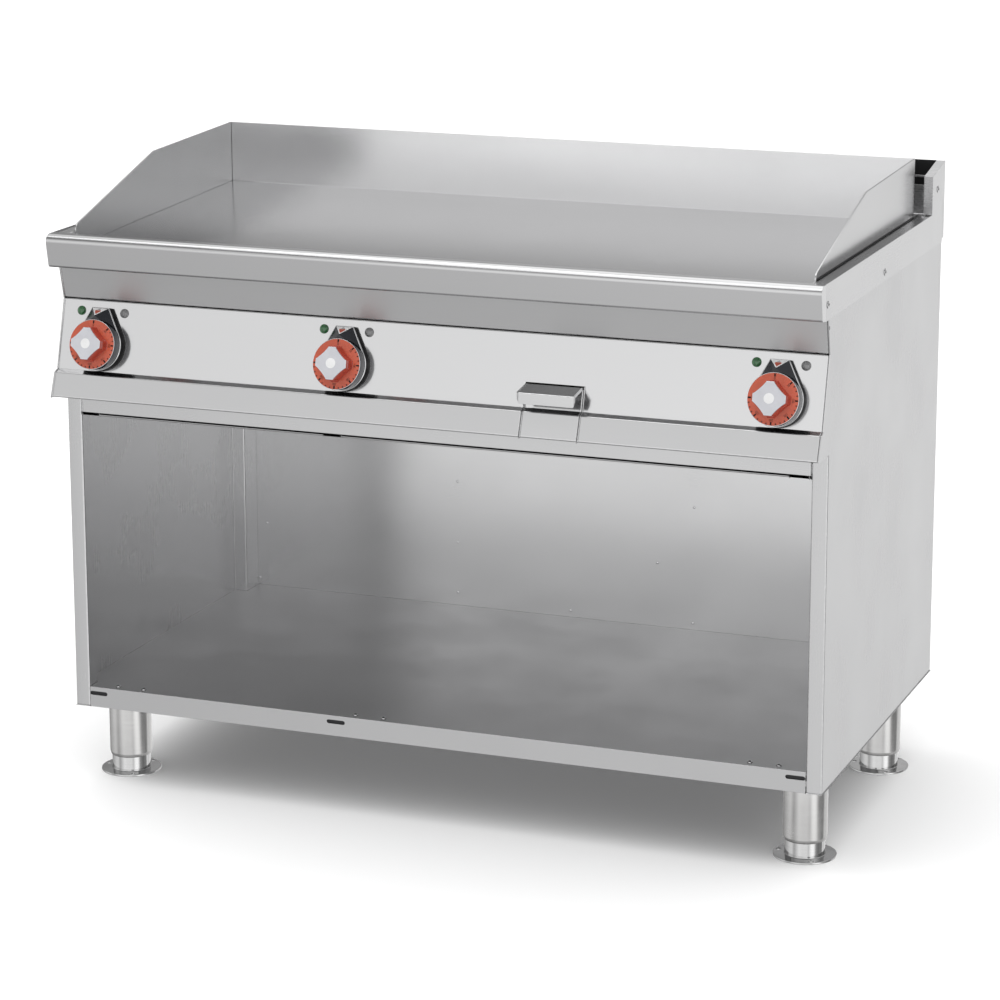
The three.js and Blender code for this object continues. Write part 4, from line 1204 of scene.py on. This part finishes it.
def screws(name, spots, out, radius, height, node):
    """A set of screw heads on one face, with their cross recesses and a ring of painted shade round each.
    """
    def everywhere(made, *sizes):
        return merged([moved(made(*sizes), facing(spot, out)) for spot in spots])

    piece(name, everywhere(pan_head, radius, height), [SCREW], node)
    piece(f"{name}_recess", everywhere(cross_recess, radius, height), [DARK_JOINT_AND_SHADE], node)
    shade_rings = everywhere(plug, radius + 0.7 * MM, -0.2 * MM, 0.06 * MM, 24)
    piece(f"{name}_shade_ring", shade_rings, [DARK_JOINT_AND_SHADE], node)


def build_fasteners():
    for side, way in SIDES:
        out, face = (way, 0, 0), SIDE_FACE * way
        screws(f"side_screws_{side}", [from_front(face, *spot) for spot in SIDE_SCREWS], out,
               4.6 * MM, 1.6 * MM, "side_panel_left")
        screws(f"side_studs_{side}", [from_front(face, *SIDE_STUD)], out,
               1.8 * MM, 0.5 * MM, "side_panel_left")
        x, y, z = LEDGE_SCREW
        screws(f"worktop_screw_{side}", [from_front(x * way, y, z)], (0, 0, 1), 3.2 * MM, 1.2 * MM,
               "worktop_side_rail_left")
    screws("floor_screws", [from_front(x, 14, 157) for x in FLOOR_SCREWS], (0, 0, 1),
           3.6 * MM, 2.0 * MM, "floor_shelf")
    inner_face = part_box("back_panel")[0].y
    rivets = [moved(pan_head(2.2 * MM, 0.9 * MM), facing((x * MM, inner_face, z * MM), (0, -1, 0)))
              for x, z in BACK_RIVETS]
    piece("back_panel_rivets", merged(rivets), [SCREW], "back_panel")
    for node, columns, middle in (("rear_cover", (-0.96, -0.48, 0, 0.48, 0.96), []),
                                  ("back_panel", (-0.97, 0.97), [0.5])):
        low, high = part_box(node)
        between = [low.z + k * (high.z - low.z) for k in middle]
        rows = [low.z + EDGE_MARGIN] + between + [high.z - EDGE_MARGIN]
        spots = [(high.x * k, high.y, z) for z in rows for k in columns]
        screws(f"{node}_screws", spots, (0, 1, 0), 3.6 * MM, 1.4 * MM, node)


# ---- stage

CAMERA_HEADING = math.radians(20.944)
CAMERA_FALL = math.radians(12.799)
CAMERA_ROLL = math.radians(0.099)
CAMERA_PLACE = (1.817582, -4.752862, 1.753538)
CAMERA_LENS = 121.777
CAMERA_SHIFT = -0.1
FLOOR_SEEN = 0.96
FLOOR_REFLECTED = 0.7

# What the steel reflects: brightness by one component of the direction, from -1 to 1. The ramps
# by height are for what lies in front and behind, and those across it for below and above.
SKY_IN_FRONT = (
    (-1, 0.35), (-0.6, 0.58), (-0.53, 0.68), (-0.22, 1.02), (0.0, 1.04), (0.27, 1.17), (0.5, 0.85),
    (0.7, 0.3), (0.93, 0.2), (0.97, 2.2), (1, 2.6))
SKY_BEHIND = (
    (-1, 0.35), (-0.6, 0.6), (-0.22, 1.0), (-0.03, 0.85), (0.06, 0.55), (0.3, 0.5), (0.5, 0.55),
    (0.6, 1.5), (1, 1.5))
BEHIND_ACROSS_ABOVE = (
    (-1, 0.6), (-0.5, 0.6), (-0.25, 1.0), (0.1, 0.95), (0.27, 0.45), (0.5, 0.35), (0.75, 0.35),
    (0.82, 0.2), (1, 0.2))
BEHIND_ACROSS_BELOW = ((-1, 0.6), (-0.5, 0.6), (-0.25, 1.0), (0.7, 1.0), (0.8, 0.2), (1, 0.2))
ACROSS_ABOVE = (
    (-1, 0.8), (-0.85, 0.8), (-0.7, 0.5), (-0.5, 0.9), (-0.27, 1.03), (0.12, 1.0), (0.3, 1.15),
    (0.5, 1.15), (0.62, 0.8), (0.76, 1.4), (0.9, 1.4), (0.96, 0.4), (1, 0.4))
ACROSS_BELOW = (
    (-1, 0.85), (-0.85, 0.9), (-0.7, 0.5), (-0.46, 0.85), (-0.27, 1.1), (0.0, 1.0), (0.45, 1.0),
    (0.6, 0.75), (0.76, 1.4), (0.9, 1.4), (0.96, 0.4), (1, 0.4))
SKY_LIGHTING = ((-1, 0.5), (0.0, 0.06), (0.25, 0.25), (0.5, 0.8), (1, 2.2))
ABOVE_HORIZON = ((-1, 0.0), (-0.03, 0.0), (0.03, 1.0), (1, 1.0))
TOWARDS_BACK = ((-1, 0.0), (-0.25, 0.0), (0.35, 1.0), (1, 1.0))


def build_camera():
    camera = bpy.data.objects.new("camera", bpy.data.cameras.new("camera"))
    camera.data.lens = CAMERA_LENS
    camera.data.sensor_width = 36
    camera.data.shift_y = CAMERA_SHIFT
    camera.location = CAMERA_PLACE
    camera.rotation_euler = (math.pi / 2 - CAMERA_FALL, CAMERA_ROLL, CAMERA_HEADING)
    bpy.context.scene.collection.objects.link(camera)
    bpy.context.scene.camera = camera


def mixed(tree, share, low, high):
    """A color between two, which are sockets or greys."""
    mix = tree.nodes.new("ShaderNodeMix")
    mix.data_type = "RGBA"
    tree.links.new(share, mix.inputs["Factor"])
    for value, socket in zip((low, high), [k for k in mix.inputs if k.type == "RGBA"]):
        if isinstance(value, bpy.types.NodeSocket):
            tree.links.new(value, socket)
        else:
            socket.default_value = (value, value, value, 1)
    return next(k for k in mix.outputs if k.type == "RGBA")


def seen_and_reflected(tree, seen, reflected, scattered=None):
    """A grey that is one value to the camera, and others to what reflects it and what it lights."""
    ray = tree.nodes.new("ShaderNodeLightPath").outputs
    if scattered is not None:
        reflected = mixed(tree, ray["Is Diffuse Ray"], reflected, scattered)
    return mixed(tree, ray["Is Camera Ray"], reflected, seen)


def build_floor():
    """A plain white floor. The steel reflects the studio in place of it, as in the photograph."""
    bm = bmesh.new()
    bmesh.ops.create_circle(bm, cap_ends=True, segments=96, radius=30)
    floor = bpy.data.objects.new("floor", meshed("floor", bm))
    bpy.context.scene.collection.objects.link(floor)
    paint = bpy.data.materials.new("floor_paint")
    paint.use_nodes = True
    tree = paint.node_tree
    tree.nodes.clear()
    diffuse = tree.nodes.new("ShaderNodeBsdfDiffuse")
    surface = tree.nodes.new("ShaderNodeOutputMaterial")
    tree.links.new(seen_and_reflected(tree, FLOOR_SEEN, FLOOR_REFLECTED), diffuse.inputs["Color"])
    tree.links.new(diffuse.outputs["BSDF"], surface.inputs["Surface"])
    floor.data.materials.append(paint)
    floor.location.z = -0.2 * MM
    floor.visible_glossy = False


def softbox(name, place, aim, size, power):
    light = bpy.data.lights.new(name, "AREA")
    light.shape = "RECTANGLE"
    light.size, light.size_y = size
    light.energy = power
    lamp = bpy.data.objects.new(name, light)
    lamp.location = place
    lamp.rotation_euler = (Vector(aim) - Vector(place)).to_track_quat("-Z", "Y").to_euler()
    bpy.context.scene.collection.objects.link(lamp)


def build_world():
    """White to the camera. What the steel reflects changes with the direction only."""
    world = bpy.data.worlds.new("studio")
    bpy.context.scene.world = world
    world.use_nodes = True
    tree = world.node_tree
    place = tree.nodes.new("ShaderNodeTexCoord")
    parts = tree.nodes.new("ShaderNodeSeparateXYZ")
    tree.links.new(place.outputs["Generated"], parts.inputs["Vector"])

    def ramp(axis, stops):
        """Brightness by one component of the direction, from -1 to 1."""
        node = tree.nodes.new("ShaderNodeValToRGB")
        ranged = tree.nodes.new("ShaderNodeMapRange")
        ranged.inputs["From Min"].default_value = -1
        tree.links.new(parts.outputs[axis], ranged.inputs["Value"])
        tree.links.new(ranged.outputs["Result"], node.inputs["Fac"])
        while len(node.color_ramp.elements) < len(stops):
            node.color_ramp.elements.new(1.0)
        for element, (at, value) in zip(node.color_ramp.elements, stops):
            element.position = (at + 1) / 2
            element.color = (value, value, value, 1)
        return node.outputs["Color"]

    def product(first, second):
        node = tree.nodes.new("ShaderNodeVectorMath")
        node.operation = "MULTIPLY"
        for k, value in enumerate((first, second)):
            tree.links.new(value, node.inputs[k])
        return node.outputs["Vector"]

    upward = ramp("Z", ABOVE_HORIZON)
    behind_across = mixed(tree, upward, ramp("X", BEHIND_ACROSS_BELOW), ramp("X", BEHIND_ACROSS_ABOVE))
    behind = product(ramp("Z", SKY_BEHIND), behind_across)
    upright = mixed(tree, ramp("Y", TOWARDS_BACK), ramp("Z", SKY_IN_FRONT), behind)
    across = mixed(tree, upward, ramp("X", ACROSS_BELOW), ramp("X", ACROSS_ABOVE))
    sky = seen_and_reflected(tree, 1.0, product(upright, across), ramp("Z", SKY_LIGHTING))
    tree.links.new(sky, tree.nodes["Background"].inputs["Color"])


def build_lights():
    build_world()
    softbox("overhead", place=(-0.9, -0.9, 3.6), aim=(0, -0.1, 0.5), size=(2.6, 1.6), power=18)
    bpy.context.scene.view_settings.view_transform = "Standard"


# ---- everything

build_camera()
build_floor()
build_lights()
build_sheet_metal()
build_knobs()
build_heating()
build_legs()
build_fasteners()
